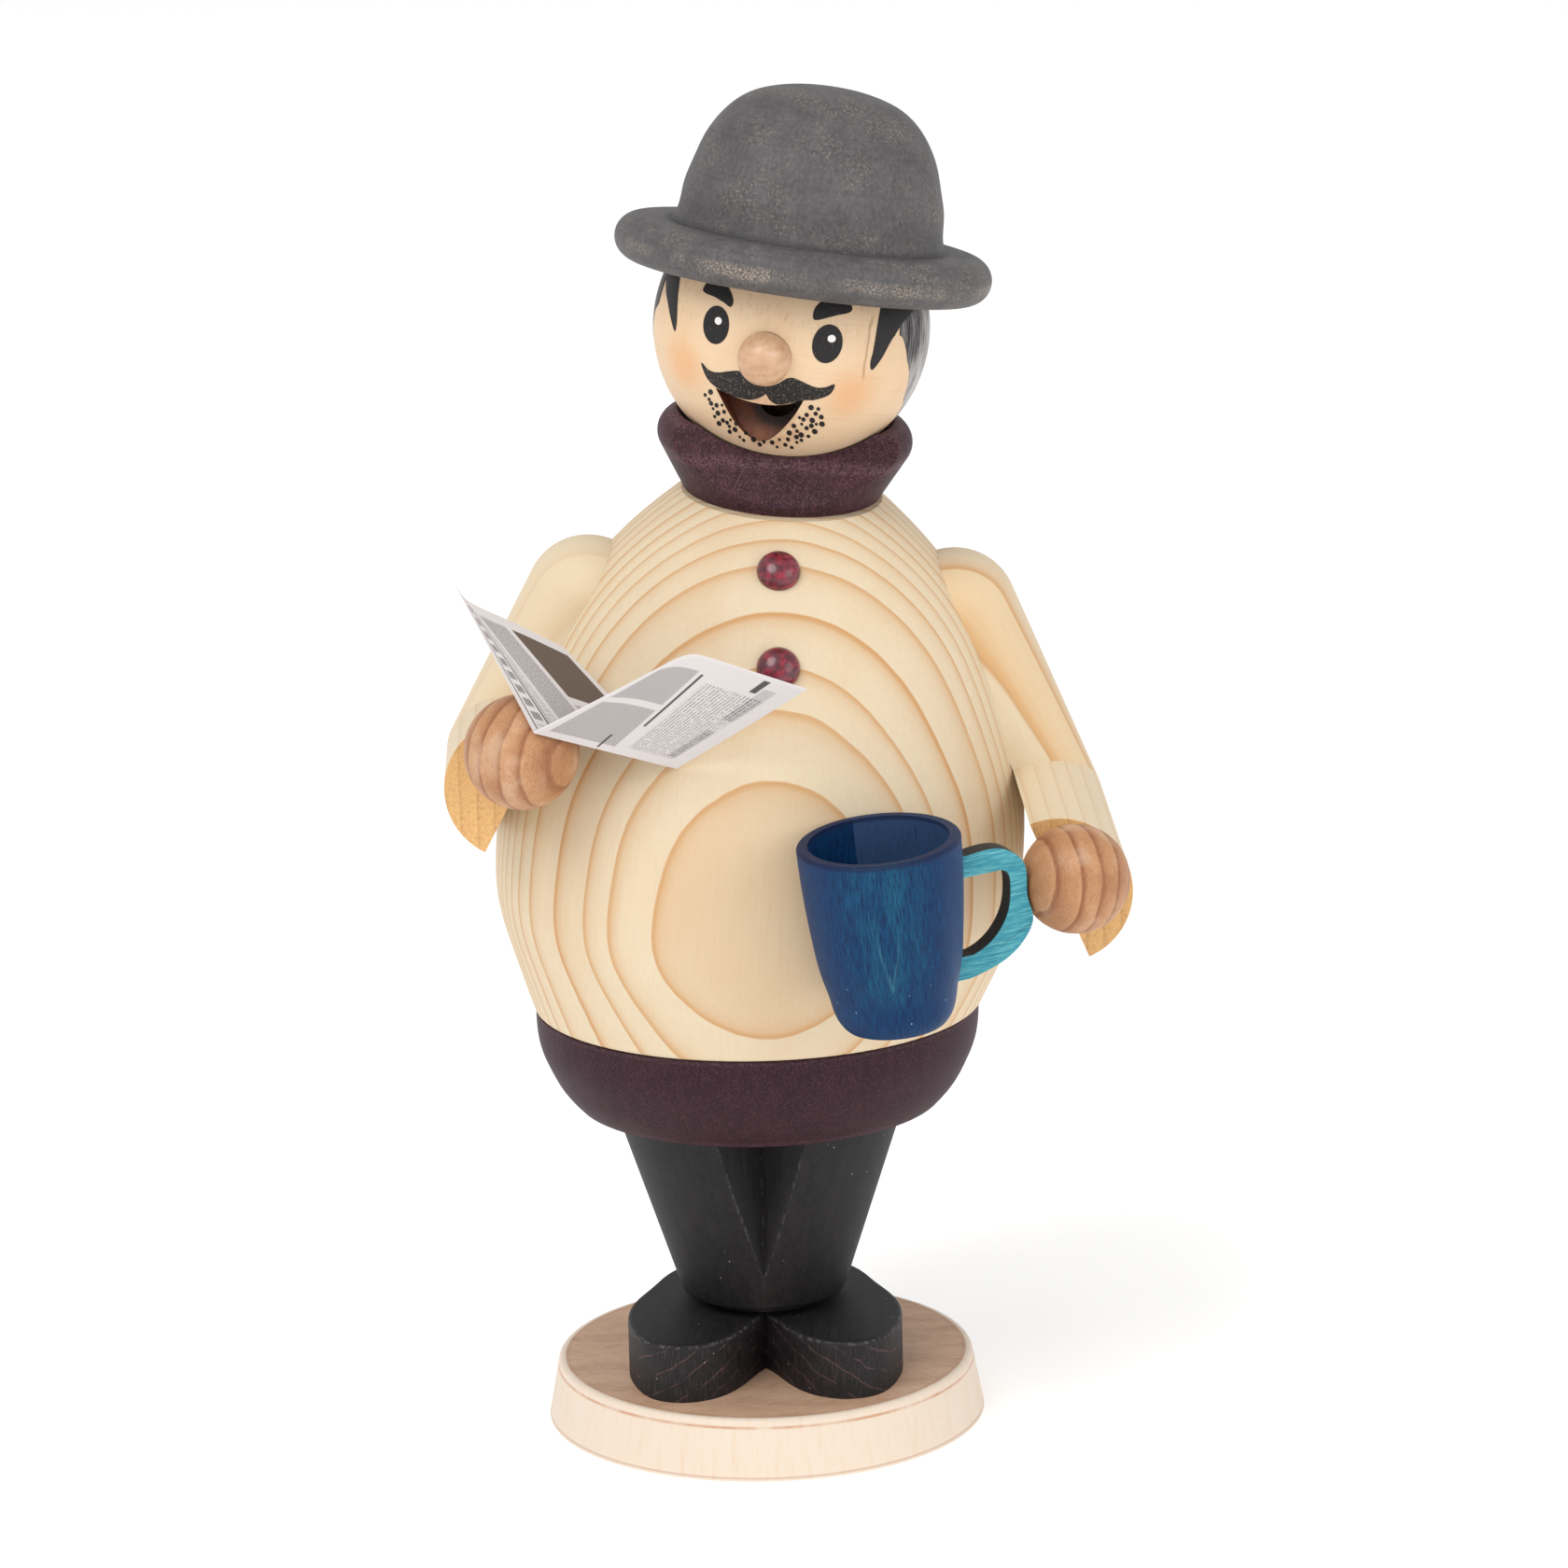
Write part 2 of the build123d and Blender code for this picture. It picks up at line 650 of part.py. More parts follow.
with BuildPart() as head:
    with Locations(head_frame):
        Sphere(head_radius)
    split(bisect_by=brim_frame, keep=Keep.BOTTOM)
    add(mouth_cut.part, mode=Mode.SUBTRACT)
    with Locations(nose_centre):
        Sphere(nose_radius + glue_gap, mode=Mode.SUBTRACT)
    with Locations(Plane(origin=place(lean_frame, 0, 0, head_foot - overrun), z_dir=lean_z * -1)):
        Hole(neck_tube_radius + glue_gap, depth=overrun + neck_tube_rise)
        Hole(neck_tube_radius - neck_tube_wall, depth=overrun + head_radius - smoke_bore_top)
    with BuildSketch(face_frame.offset(mouth_floor_y)):
        with Locations((smoke_hole_x, -smoke_hole_z)):
            Circle(smoke_hole_radius)
    extrude(amount=-mouth_floor_y, mode=Mode.SUBTRACT)
    with Locations(brim_frame):
        Hole(hat_peg_radius + glue_gap, depth=hat_peg_depth + peg_end_gap)
finish(head, "head")

with BuildPart() as nose:
    with Locations(nose_centre):
        Sphere(nose_radius)
finish(nose, "nose")

# Hat: a brim with a full round edge and a separately turned crown
with BuildPart() as hat_brim:
    edge_radius = brim_height / 2
    with BuildSketch(profile_plane(brim_frame)):
        with BuildLine():
            edge = ThreePointArc(
                (brim_radius - edge_radius, 0), (brim_radius, edge_radius), (brim_radius - edge_radius, brim_height)
            )
            Polyline(edge @ 1, (0, brim_height), (0, 0), edge @ 0)
        make_face()
    revolve(axis=turning_axis(brim_frame))
    with Locations(hat_peg_frame):
        Hole(hat_peg_radius + glue_gap)
finish(hat_brim, "hat_brim")

with BuildPart() as hat_crown:
    with BuildSketch(profile_plane(crown_frame)):
        with BuildLine():
            dome = Spline(scaled(crown_outline_shares, crown_radius, crown_height))
            Polyline(dome @ 1, (0, 0), dome @ 0)
        make_face()
    revolve(axis=turning_axis(crown_frame))
    with Locations(Plane(origin=hat_peg_frame.origin, z_dir=hat_peg_frame.z_dir * -1)):
        Hole(hat_peg_radius + glue_gap, depth=hat_peg_depth + peg_end_gap)
finish(hat_crown, "hat_crown")
peg("hat_dowel", brim_frame, -hat_peg_depth, brim_height + hat_peg_depth, hat_peg_radius)

# Mug, a hollow turned cup, and its sawn handle, both cut to what they are glued to
mug_x = Vector(1, 0, 0).rotate(Axis.Z, handle_yaw).rotate(Axis.Y, mug_side_lean).rotate(Axis.X, mug_front_lean)
mug_z = Vector(0, 0, 1).rotate(Axis.Y, mug_side_lean).rotate(Axis.X, mug_front_lean)
mug_foot = left_hand_centre + Vector(mug_hold_x, mug_hold_y, mug_hold_z) - mug_x * handle_reach
mug_frame = Plane(origin=mug_foot, x_dir=mug_x, z_dir=mug_z)
mug_points = scaled(mug_outline_shares, mug_radius, mug_height)

with BuildPart() as mug_form:
    with BuildSketch(profile_plane(mug_frame)):
        with BuildLine():
            flank = Spline(mug_points)
            Polyline(flank @ 1, (0, mug_height), (0, 0), flank @ 0)
        make_face()
    revolve(axis=turning_axis(mug_frame))

inside_points = [(x - mug_wall, y) for x, y in mug_points if y > mug_floor]
with BuildPart() as mug:
    add(mug_form.part)
    fillet(mug.edges().sort_by(turning_axis(mug_frame))[-1], mug_rim_round)
    with BuildSketch(profile_plane(mug_frame)):
        with BuildLine():
            wall = Spline(inside_points)
            rim_height = mug_height + overrun
            Polyline(wall @ 1, ((wall @ 1).X, rim_height), (0, rim_height), (0, mug_floor), wall @ 0)
        make_face()
    revolve(axis=turning_axis(mug_frame), mode=Mode.SUBTRACT)
    add(torso_form.part, mode=Mode.SUBTRACT)
finish(mug, "mug")

with BuildPart() as mug_handle:
    outer_points = scaled(handle_outer_shares, handle_reach, mug_height)
    inner_points = scaled(handle_inner_shares, handle_reach, mug_height)
    root_x = handle_root_share * handle_reach
    with BuildSketch(profile_plane(mug_frame)):
        for outline_points, mode in ((outer_points, Mode.ADD), (inner_points, Mode.SUBTRACT)):
            with BuildLine():
                bow = Spline(outline_points)
                Polyline(bow @ 1, (root_x, (bow @ 1).Y), (root_x, (bow @ 0).Y), bow @ 0)
            make_face(mode=mode)
    extrude(amount=handle_thickness / 2, both=True)
    add(mug_form.part, mode=Mode.SUBTRACT)
finish(mug_handle, "mug_handle")

# Newspaper: both leaves are ruled from the fold, which ends against the coat
def paper_point(shares):
    return paper_start + Vector(*shares) * paper_size


paper_start = right_hand_centre + Vector(*paper_grip_shares) * (right_hand_radius + paper_thickness)
paper_foot_frame = coat_frame(paper_foot_height, paper_foot_turn)
paper_foot = paper_foot_frame.origin + paper_foot_frame.z_dir * (paper_thickness + seat_gap)
fold = Edge.make_line(paper_start, paper_foot)
with BuildPart() as newspaper:
    for top_shares in (paper_back_shares, paper_front_shares):
        top_edge = Edge.make_spline([paper_point(shares) for shares in top_shares])
        leaf = Face.make_surface_from_curves(fold, top_edge)
        thicken(leaf, amount=paper_thickness / 2, both=True)
finish(newspaper, "newspaper")
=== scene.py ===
import math

import bmesh
import bpy
from bpy.props import FloatProperty, FloatVectorProperty, PointerProperty
from mathutils import Matrix, Vector


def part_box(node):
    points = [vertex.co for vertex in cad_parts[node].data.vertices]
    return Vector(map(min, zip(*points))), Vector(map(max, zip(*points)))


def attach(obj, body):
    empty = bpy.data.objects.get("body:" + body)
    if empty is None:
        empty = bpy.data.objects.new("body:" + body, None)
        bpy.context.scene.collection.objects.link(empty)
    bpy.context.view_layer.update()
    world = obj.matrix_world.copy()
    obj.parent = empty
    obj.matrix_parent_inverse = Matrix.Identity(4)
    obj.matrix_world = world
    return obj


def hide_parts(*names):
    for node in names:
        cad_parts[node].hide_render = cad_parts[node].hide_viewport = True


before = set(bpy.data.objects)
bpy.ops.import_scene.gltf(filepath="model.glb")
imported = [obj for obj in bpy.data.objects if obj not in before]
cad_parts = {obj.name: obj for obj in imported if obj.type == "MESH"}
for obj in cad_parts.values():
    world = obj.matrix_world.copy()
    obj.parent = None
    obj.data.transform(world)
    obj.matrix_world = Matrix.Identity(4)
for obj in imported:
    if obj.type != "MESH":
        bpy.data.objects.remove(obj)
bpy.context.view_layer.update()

bl_info = {
    "name": "Incense Smoker",
    "version": (1, 0, 0),
    "blender": (4, 5, 0),
    "location": "3D View > Sidebar > Smoker",
    "description": "Finishes a turned incense smoker: wood, stain, face paint and newspaper",
    "category": "Object",
}

MM = 0.001


def spot(x, y, z):
    """A frame at a place given in millimetres."""
    return Matrix.Translation(Vector((x, y, z)) * MM)


def turned(axis, degrees):
    return Matrix.Rotation(math.radians(degrees), 4, axis)


def axes(origin, z_dir, x_dir):
    """A frame from its origin in metres, its z axis and a direction near its x axis."""
    z = Vector(z_dir).normalized()
    y = z.cross(Vector(x_dir)).normalized()
    x = y.cross(z)
    turn = Matrix((x, y, z)).transposed().to_4x4()
    return Matrix.Translation(origin) @ turn


# Frames of the figure, each with z along the axis it was turned on, and sizes in millimetres
waist_z = 58.5
coat_height = 70.9
lean_frame = spot(-0.9, 0, waist_z) @ turned("Y", 4.7)
collar_frame = lean_frame @ spot(0, 0, coat_height) @ turned("X", 5.5)
head_frame = spot(6.7, 0, 150.94) @ turned("Y", 9.17) @ turned("X", -3.1) @ turned("Z", -11)
brim_frame = head_frame @ spot(0.3, 0, 6.2)
crown_frame = brim_frame @ spot(0.35, 0, 6.05)
face_lift = 0.32
mug_frame = spot(17.93, -40.98, 66.86) @ turned("X", 4.66) @ turned("Y", -4.5) @ turned("Z", 20)
arm_spread = {"right": -28.0, "left": 22.8}
elbow = {"right": spot(-31.4, 0, 93.4), "left": spot(37.85, 0, 84.7)}
droop = {"right": -3.7, "left": 11.8}
head_radius = 18.3
sides = ("right", "left")
ball_middle = {side: sum(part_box(f"{side}_hand"), Vector()) / 2 for side in sides}


def tone(red, green, blue):
    """A colour as a screen shows it, from 0 to 255, as the linear values of a shader."""
    toe, slope, offset, power = 0.04045, 12.92, 0.055, 2.4
    shares = [value / 255 for value in (red, green, blue)]
    return tuple(
        share / slope if share <= toe else ((share + offset) / (1 + offset)) ** power
        for share in shares
    )


def colour(name, description, *screen):
    return FloatVectorProperty(
        name=name, description=description, default=tone(*screen), min=0, max=1, subtype="COLOR"
    )


def number(name, description, value, **more):
    return FloatProperty(name=name, description=description, default=value, **more)


def length(name, description, millimetres):
    return number(name, description, millimetres * MM, subtype="DISTANCE", unit="LENGTH")


def angle(name, description, degrees):
    return number(name, description, math.radians(degrees), subtype="ANGLE", unit="ROTATION")


class SmokerColours(bpy.types.PropertyGroup):
    """Colours of the woods, stains and paints."""

    pine: colour("Pine", "Early wood of the coat and arms", 222, 205, 175)
    pine_ring: colour("Pine ring", "Late wood of the coat and arms", 200, 150, 96)
    pine_end: colour("Pine end grain", "Sawn ends of the forearms", 226, 180, 118)
    maple: colour("Maple", "The head", 228, 199, 164)
    # Maple shade serves both the head's mottled grain and the painted shade at the sides of the head
    maple_dark: colour("Maple shade", "Mottled and darker grain of the head", 222, 180, 136)
    blush: colour("Blush", "Round cheeks", 226, 160, 100)
    scorch: colour("Scorch", "Brown of the smoked mouth", 112, 60, 38)
    # Black laid in the smoke hole and round its rim
    hole_black: colour("Hole black", "The smoke hole and its rim", 30, 20, 18)
    beech: colour("Beech", "The hands", 196, 146, 104)
    beech_dark: colour("Beech ring", "Dark rings of the hands", 138, 82, 50)
    nose: colour("Nose", "The nose", 210, 170, 134)
    black: colour("Black", "Black stain of shoes and trousers", 17, 15, 17)
    black_light: colour("Worn black", "Fine grain in the black stain", 35, 32, 34)
    plum: colour("Plum", "Burgundy stain of collar and dish", 76, 43, 53)
    plum_dark: colour("Plum shade", "Dark grain in the burgundy stain", 38, 20, 27)
    plum_light: colour("Plum edge", "Edges where the burgundy stain is thin", 138, 104, 112)
    grey: colour("Grey", "Grey stain of the hat", 97, 94, 95)
    grey_dark: colour("Grey shade", "Dark grain in the hat", 60, 58, 60)
    bare: colour("Bare wood", "Wood where a stain is worn off", 190, 172, 150)
    blue: colour("Blue", "Blue stain of the mug", 2, 62, 106)
    blue_dark: colour("Navy", "Dark grain and rim of the mug", 4, 30, 70)
    teal: colour("Teal", "Teal stain of the handle", 44, 138, 156)
    teal_light: colour("Pale teal", "Pale grain of the handle", 110, 186, 192)
    burnt: colour("Burnt edge", "Sawn edges of the handle", 30, 34, 38)
    base: colour("Base", "Turned side of the base", 228, 212, 194)
    base_grain: colour("Base grain", "Streaks down the side of the base", 224, 192, 158)
    base_top: colour("Base top", "Brown stain on top of the base", 208, 172, 144)
    base_top_dark: colour("Base top shade", "Flecks on top of the base", 166, 128, 100)
    burnish: colour("Burnish", "Rubbed line round the rim of the base", 190, 124, 78)
    lacquer: colour("Lacquer", "Buttons", 84, 18, 34)
    lacquer_light: colour("Lacquer light", "Thin lacquer of the buttons", 150, 30, 54)
    paper: colour("Paper", "Newsprint paper", 216, 210, 208)
    paper_ink: colour("Ink", "Printed bars", 66, 60, 60)
    paper_block: colour("Block", "Dark printed block", 92, 76, 62)
    highlight: colour("Highlight", "Dots in the eyes", 238, 236, 232)
    hair: colour("Hair", "Thin grey wash of the hair", 196, 192, 190)


class SmokerSizes(bpy.types.PropertyGroup):
    """Sizes of the paint and the paper."""

    paint_film: length("Paint film", "How far the face paint stands off the wood", 0.05)
    paper_sheet: length("Paper", "Thickness of the newspaper", 0.22)
    paper_side: length("Paper side", "Side of a newspaper leaf", 24.0)


class SmokerStage(bpy.types.PropertyGroup):
    """The camera, the lights and the floor."""

    camera_back: length("Camera distance", "From the figure's axis to the camera", 800)
    camera_height: length("Camera height", "From the floor to the camera", 290)
    camera_pitch: angle("Camera pitch", "How far the camera looks down", 14.13)
    camera_roll: angle("Camera roll", "How far the picture is turned", -1.4)
    camera_shift: number("Camera shift", "Sideways shift of the frame", 0.0204, subtype="FACTOR")
    lens: number("Lens", "Focal length", 140.49, unit="CAMERA")
    key_power: number("Key", "Power of the key light", 10.4, unit="POWER")
    fill_power: number("Fill", "Power of the fill light", 3.2, unit="POWER")
    sky: number("Sky", "Brightness of the white room", 0.75, min=0)
    floor_colour: colour("Floor", "The pale floor", 254, 254, 254)
    floor_glow: number("Floor glow", "Light from under the floor", 0.2, min=0)


def operator(operation):
    """A method of Wire that does one sum with another wire or a number."""
    return lambda self, other: self.finish.calc(operation, self, other)


class Wire:
    """What leaves a node, ready for sums with numbers and with other wires."""

    __add__ = __radd__ = operator("ADD")
    __sub__ = operator("SUBTRACT")
    __mul__ = __rmul__ = operator("MULTIPLY")
    __truediv__ = operator("DIVIDE")
    __mod__ = operator("FLOORED_MODULO")
    __pow__ = operator("POWER")
    most = operator("MAXIMUM")
    least = operator("MINIMUM")

    def __init__(self, finish, socket):
        self.finish = finish
        self.socket = socket

    def calc(self, operation, *others):
        return self.finish.calc(operation, self, *others)

    def __rsub__(self, other):
        return self.finish.calc("SUBTRACT", other, self)

    def __abs__(self):
        return self.calc("ABSOLUTE")

    def __neg__(self):
        return self.calc("MULTIPLY", -1)

    def rise(self, start, end):
        """0 up to start, 1 from end on, and smooth between. A start above the end falls."""
        if start > end:
            return 1 - self.rise(end, start)
        node = self.finish.node("ShaderNodeMapRange", interpolation_type="SMOOTHSTEP")
        self.finish.plug(node.inputs["Value"], self)
        node.inputs["From Min"].default_value = start
        node.inputs["From Max"].default_value = end
        return Wire(self.finish, node.outputs["Result"])

    def band(self, low, high, soft):
        """1 between low and high, with soft edges."""
        return self.rise(low - soft, low + soft) * self.rise(high + soft, high - soft)


class Finish:
    """A material in the making. Places in it are in millimetres of the piece's own frame."""

    def __init__(self, name, place=Matrix.Identity(4)):
        self.hues = bpy.context.scene.smoker_colours
        self.material = bpy.data.materials.new(name)
        self.material.use_nodes = True
        self.tree = self.material.node_tree
        self.shader = self.tree.nodes["Principled BSDF"]
        self.source = self.node("ShaderNodeTexCoord")
        mapping = self.node("ShaderNodeMapping", vector_type="TEXTURE")
        mapping.inputs["Location"].default_value = place.to_translation()
        mapping.inputs["Rotation"].default_value = place.to_euler()
        mapping.inputs["Scale"].default_value = (MM, MM, MM)
        self.tree.links.new(self.source.outputs["Object"], mapping.inputs["Vector"])
        self.place = Wire(self, mapping.outputs["Vector"])
        self.x, self.y, self.z = self.split(self.place)
        self.body = None

    def node(self, kind, **settings):
        node = self.tree.nodes.new(kind)
        for key, value in settings.items():
            setattr(node, key, value)
        return node

    def plug(self, socket, value):
        """Links a wire to a socket, or sets a number or a colour on it."""
        if isinstance(value, Wire):
            self.tree.links.new(value.socket, socket)
        elif socket.type == "RGBA":
            socket.default_value = (*value[:3], 1)
        else:
            socket.default_value = value

    def calc(self, operation, *values):
        node = self.node("ShaderNodeMath", operation=operation)
        for socket, value in zip(node.inputs, values):
            self.plug(socket, value)
        return Wire(self, node.outputs[0])

    def split(self, vector):
        node = self.node("ShaderNodeSeparateXYZ")
        self.plug(node.inputs[0], vector)
        return [Wire(self, output) for output in node.outputs]

    def join(self, x, y, z):
        node = self.node("ShaderNodeCombineXYZ")
        for socket, value in zip(node.inputs, (x, y, z)):
            self.plug(socket, value)
        return Wire(self, node.outputs[0])

    def stretched(self, sizes, seed=0, vector=None):
        """The place with each direction divided by a size, moved on by a seed."""
        node = self.node("ShaderNodeVectorMath", operation="MULTIPLY_ADD")
        self.plug(node.inputs[0], vector or self.place)
        node.inputs[1].default_value = [1 / size for size in sizes]
        node.inputs[2].default_value = (seed, seed, seed)
        return Wire(self, node.outputs[0])

    def noise(self, sizes, detail=2, seed=0, rough=0.5, vector=None):
        """Soft noise about 0.5, whose grains have the given sizes along x, y and z."""
        node = self.node("ShaderNodeTexNoise")
        self.plug(node.inputs["Vector"], self.stretched(sizes, seed, vector))
        node.inputs["Scale"].default_value = 1
        node.inputs["Detail"].default_value = detail
        node.inputs["Roughness"].default_value = rough
        return Wire(self, node.outputs[0])

    def dots(self, sizes, share, seed=0):
        """1 in small round dots, one in each cell, whose radius is a share of the cell."""
        node = self.node("ShaderNodeTexVoronoi")
        self.plug(node.inputs["Vector"], self.stretched(sizes, seed))
        node.inputs["Scale"].default_value = 1
        return Wire(self, node.outputs["Distance"]).rise(share, share / 2)

    def steps(self, value, stops):
        """A grey ramp through pairs of place and brightness."""
        node = self.node("ShaderNodeValToRGB")
        ramp = node.color_ramp
        for index, (place, brightness) in enumerate(stops):
            element = ramp.elements[index] if index < 2 else ramp.elements.new(place)
            element.position = place
            element.color = (brightness, brightness, brightness, 1)
        self.plug(node.inputs[0], value)
        return Wire(self, node.outputs[0])

    def mix(self, share, first, second):
        """The first colour at a share of 0 and the second at 1."""
        node = self.node("ShaderNodeMix", data_type="RGBA")
        for place, value in ((0, share), (6, first), (7, second)):
            self.plug(node.inputs[place], value)
        return Wire(self, node.outputs[2])

    def near(self, *middle):
        """The distance in millimetres from a place."""
        node = self.node("ShaderNodeVectorMath", operation="DISTANCE")
        self.plug(node.inputs[0], self.place)
        node.inputs[1].default_value = middle
        return Wire(self, node.outputs["Value"])

    def radius(self):
        """The distance from the axis."""
        return (self.x * self.x + self.y * self.y) ** 0.5

    def unrolled(self):
        """The place on a turned shape, as the angle round its axis and the height."""
        return self.join(self.x.calc("ARCTAN2", self.y), 0, self.z)

    def tint(self, share, colour):
        """Lays a share of a colour over the body's colour so far."""
        self.body = self.mix(share, self.body, colour)

    def done(self, rough, relief=None, gloss=0.5, **others):
        """Joins the body's colour, roughness and relief in millimetres to the shader."""
        self.plug(self.shader.inputs["Base Color"], self.body)
        self.plug(self.shader.inputs["Roughness"], rough)
        self.shader.inputs["Specular IOR Level"].default_value = gloss
        if relief is not None:
            bump = self.node("ShaderNodeBump")
            bump.inputs["Distance"].default_value = MM
            self.plug(bump.inputs["Height"], relief)
            self.tree.links.new(bump.outputs[0], self.shader.inputs["Normal"])
        for name, value in others.items():
            self.shader.inputs[name.replace("_", " ").title()].default_value = value
        return self.material


def dress(material, *names):
    """Puts a finish on the solids of these names."""
    for name in names:
        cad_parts[name].material_slots[0].material = material


def piece(name, bm, place, material, body):
    """Makes an object from a shape in millimetres, with its place in its mesh."""
    bmesh.ops.transform(bm, matrix=place @ Matrix.Scale(MM, 4), verts=bm.verts)
    mesh = bpy.data.meshes.new(name)
    bm.to_mesh(mesh)
    bm.free()
    mesh.polygons.foreach_set("use_smooth", [True] * len(mesh.polygons))
    mesh.set_sharp_from_angle(angle=math.radians(40))
    thing = bpy.data.objects.new(name, mesh)
    bpy.context.scene.collection.objects.link(thing)
    mesh.materials.append(material)
    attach(thing, body)
    return thing


# Finishes of bare wood. A ramp runs across one growth ring, from place to brightness
pine_ramp = [(0.0, 1.0), (0.05, 0.85), (0.14, 0.42), (0.33, 0.15), (0.6, 0.03), (0.965, 0.0), (0.99, 1.0)]
beech_ramp = [(0.0, 0.0), (0.4, 0.1), (0.7, 0.4), (0.9, 1.0), (0.97, 0.7), (1.0, 0.05)]


def pine_finish(name, place, rings, pitch, seed, end=None, strong=1.0, heart=0.0, band=None):
    """Pine with its rings as sheets across the frame's front, and fibres along z.

    rings are the depths of the first sheets, from the front, and pitch spaces the rest.
    end is how far forward a sawn end is, which shows darker end grain. strong scales the rings,
    heart is the shade of the wood inside the first, and band lies between two depths.
    """
    f = Finish(name, place)
    hues = f.hues
    wander = f.noise((40, 40, 110), 1, seed) - 0.5
    ripple = f.noise((7, 7, 22), 2, seed + 3) - 0.5
    depth = -f.y + wander * 0.9 + ripple * 0.3
    # A curve turns the depth, within half a span each way, into a count of up to most rings
    span, most = 80.0, 40.0
    curve = f.node("ShaderNodeFloatCurve")
    points = curve.mapping.curves[0].points
    first_count = most / 2 + len(rings)
    marks = [(-span / 2, first_count - len(rings) - (rings[-1] + span / 2) / pitch)]
    marks += [(ring, first_count - index - 1) for index, ring in enumerate(rings)][::-1]
    marks += [(span / 2, first_count + (span / 2 - rings[0]) / pitch)]
    for index, (ring, count) in enumerate(marks):
        at = ((ring + span / 2) / span, count / most)
        point = points[index] if index < 2 else points.new(*at)
        point.location = at
        point.handle_type = "VECTOR"
    curve.mapping.update()
    f.plug(curve.inputs["Value"], depth / span + 0.5)
    count = Wire(f, curve.outputs[0]) * most
    part = count % 1
    strength = f.noise((0.37, 1, 1), 0, seed, vector=f.join(count.calc("FLOOR"), 0, 0))
    late = f.steps(part, pine_ramp) * (strength * 0.8 + 0.45) * strong
    if heart:
        late = late * depth.rise(rings[0] + 1.8, rings[0] + 1.2)
    fibre = f.noise((0.5, 0.5, 14), 4, seed, 0.65)
    lathe = f.noise((22, 22, 0.45), 2, seed + 5)
    f.body = f.mix(late.least(1), hues.pine, hues.pine_ring)
    f.tint(fibre.rise(0.3, 0.75) * 0.12 * strong, hues.pine_ring)
    f.tint(f.noise((14, 14, 24), 2, seed + 8).rise(0.45, 0.75) * 0.14 * strong, hues.pine_ring)
    inner = depth.rise(rings[0] - 0.1, rings[0] + 0.25) * heart
    f.tint(inner, hues.pine_ring)
    if band:
        f.tint(depth.band(*band, 0.1) * 0.3 * strong, hues.pine_end)
    f.tint(lathe.rise(0.62, 0.8) * 0.1, hues.pine_ring)
    specks = f.dots((7, 7, 9), 0.02, seed)
    f.tint(specks * 0.55, hues.beech_dark)
    if end is not None:
        ahead = -(f.x * place[1][0] + f.y * place[1][1] + f.z * place[1][2])
        sawn = ahead.rise(end - 0.12, end - 0.03)
        pores = f.noise((0.45, 0.45, 3), 3, seed, 0.7)
        grain = f.mix((late * 0.75 + pores.rise(0.4, 0.8) * 0.4).least(1), hues.pine_end, hues.beech_dark)
        f.tint(sawn, grain)
    relief = fibre * 0.012 + lathe * 0.008 + late * 0.01
    return f.done(0.5 + fibre * 0.12, relief, gloss=0.32)


def maple_finish():
    """The head: pale maple, with painted shade towards its sides, the blush, the scorched mouth and the
    black round its hole.
    """
    f = Finish("maple_head", head_frame)
    hues = f.hues
    fibre = f.noise((0.55, 0.55, 11), 4, 2, 0.65)
    cloud = f.noise((5, 5, 9), 3, 7)
    lathe = f.noise((16, 16, 0.35), 2, 4)
    # Painted shade: the maple darkens towards the head's left and right sides, where the ball turns away
    # from the front; the rest of this mix is mottled grain
    side = abs(f.x).rise(5, 18)
    shade = (side * 0.3 + fibre.rise(0.35, 0.75) * 0.3 + cloud.rise(0.45, 0.75) * 0.4) * 0.55
    f.body = f.mix(shade.least(1), hues.maple, hues.maple_dark)
    f.tint(lathe.rise(0.55, 0.8) * 0.14, hues.beech_dark)
    for middle in ((-11.6, -13.2, -5.8), (11.2, -13.4, -6.1)):
        f.tint(f.near(*middle).rise(5.4, 0.6) * 0.55, hues.blush)
    smudge = f.near(0.5, -15, -11.6).rise(7.5, 3.5) * f.noise((1.5, 1.5, 2.5), 3, 7, 0.7).rise(0.3, 0.65)
    f.tint(smudge * 0.5, tone(172, 116, 76))
    patches = f.noise((6, 6, 4), 2, 3).rise(0.4, 0.6)
    brow_grain = f.noise((0.3, 0.3, 2.0), 3, 12, 0.75).rise(0.5, 0.64) * patches
    f.tint(brow_grain * f.z.rise(-2, 4) * f.y.rise(-6, -12) * 0.25, hues.beech_dark)
    streak = f.x - 12.3 + (f.noise((3, 3, 4), 2, 1) - 0.5) * 0.8
    line = abs(streak).rise(0.22, 0.05) * f.z.band(-3.8, 4.2, 0.8) * f.y.rise(0, -4)
    f.tint(line * 0.45, hues.beech_dark)
    cut = f.near(0, 0, 0).rise(head_radius - 0.05, head_radius - 0.2) * f.y.rise(-2, -4) * f.z.rise(-3, -6)
    smoked = f.noise((0.7, 1.2, 1.6), 4, 5, 0.7)
    mouth = f.mix(smoked.rise(0.4, 0.7) * 0.6, hues.scorch, tone(76, 46, 36))
    # Black in the smoke hole and round its rim, strongest near a point inside the hole
    mouth = f.mix(f.near(1.1, -10, -8.6).rise(4.4, 2.9) * 0.9, mouth, hues.hole_black)
    mouth = f.mix(f.z.rise(-11.6, -13.6) * smoked.rise(0.3, 0.6) * 0.4, mouth, tone(176, 112, 70))
    f.tint(cut, mouth)
    relief = fibre * 0.01 + lathe * 0.008 + cut * smoked * 0.12
    return f.done(0.42 + fibre * 0.14, relief, gloss=0.4, coat_weight=0.06)


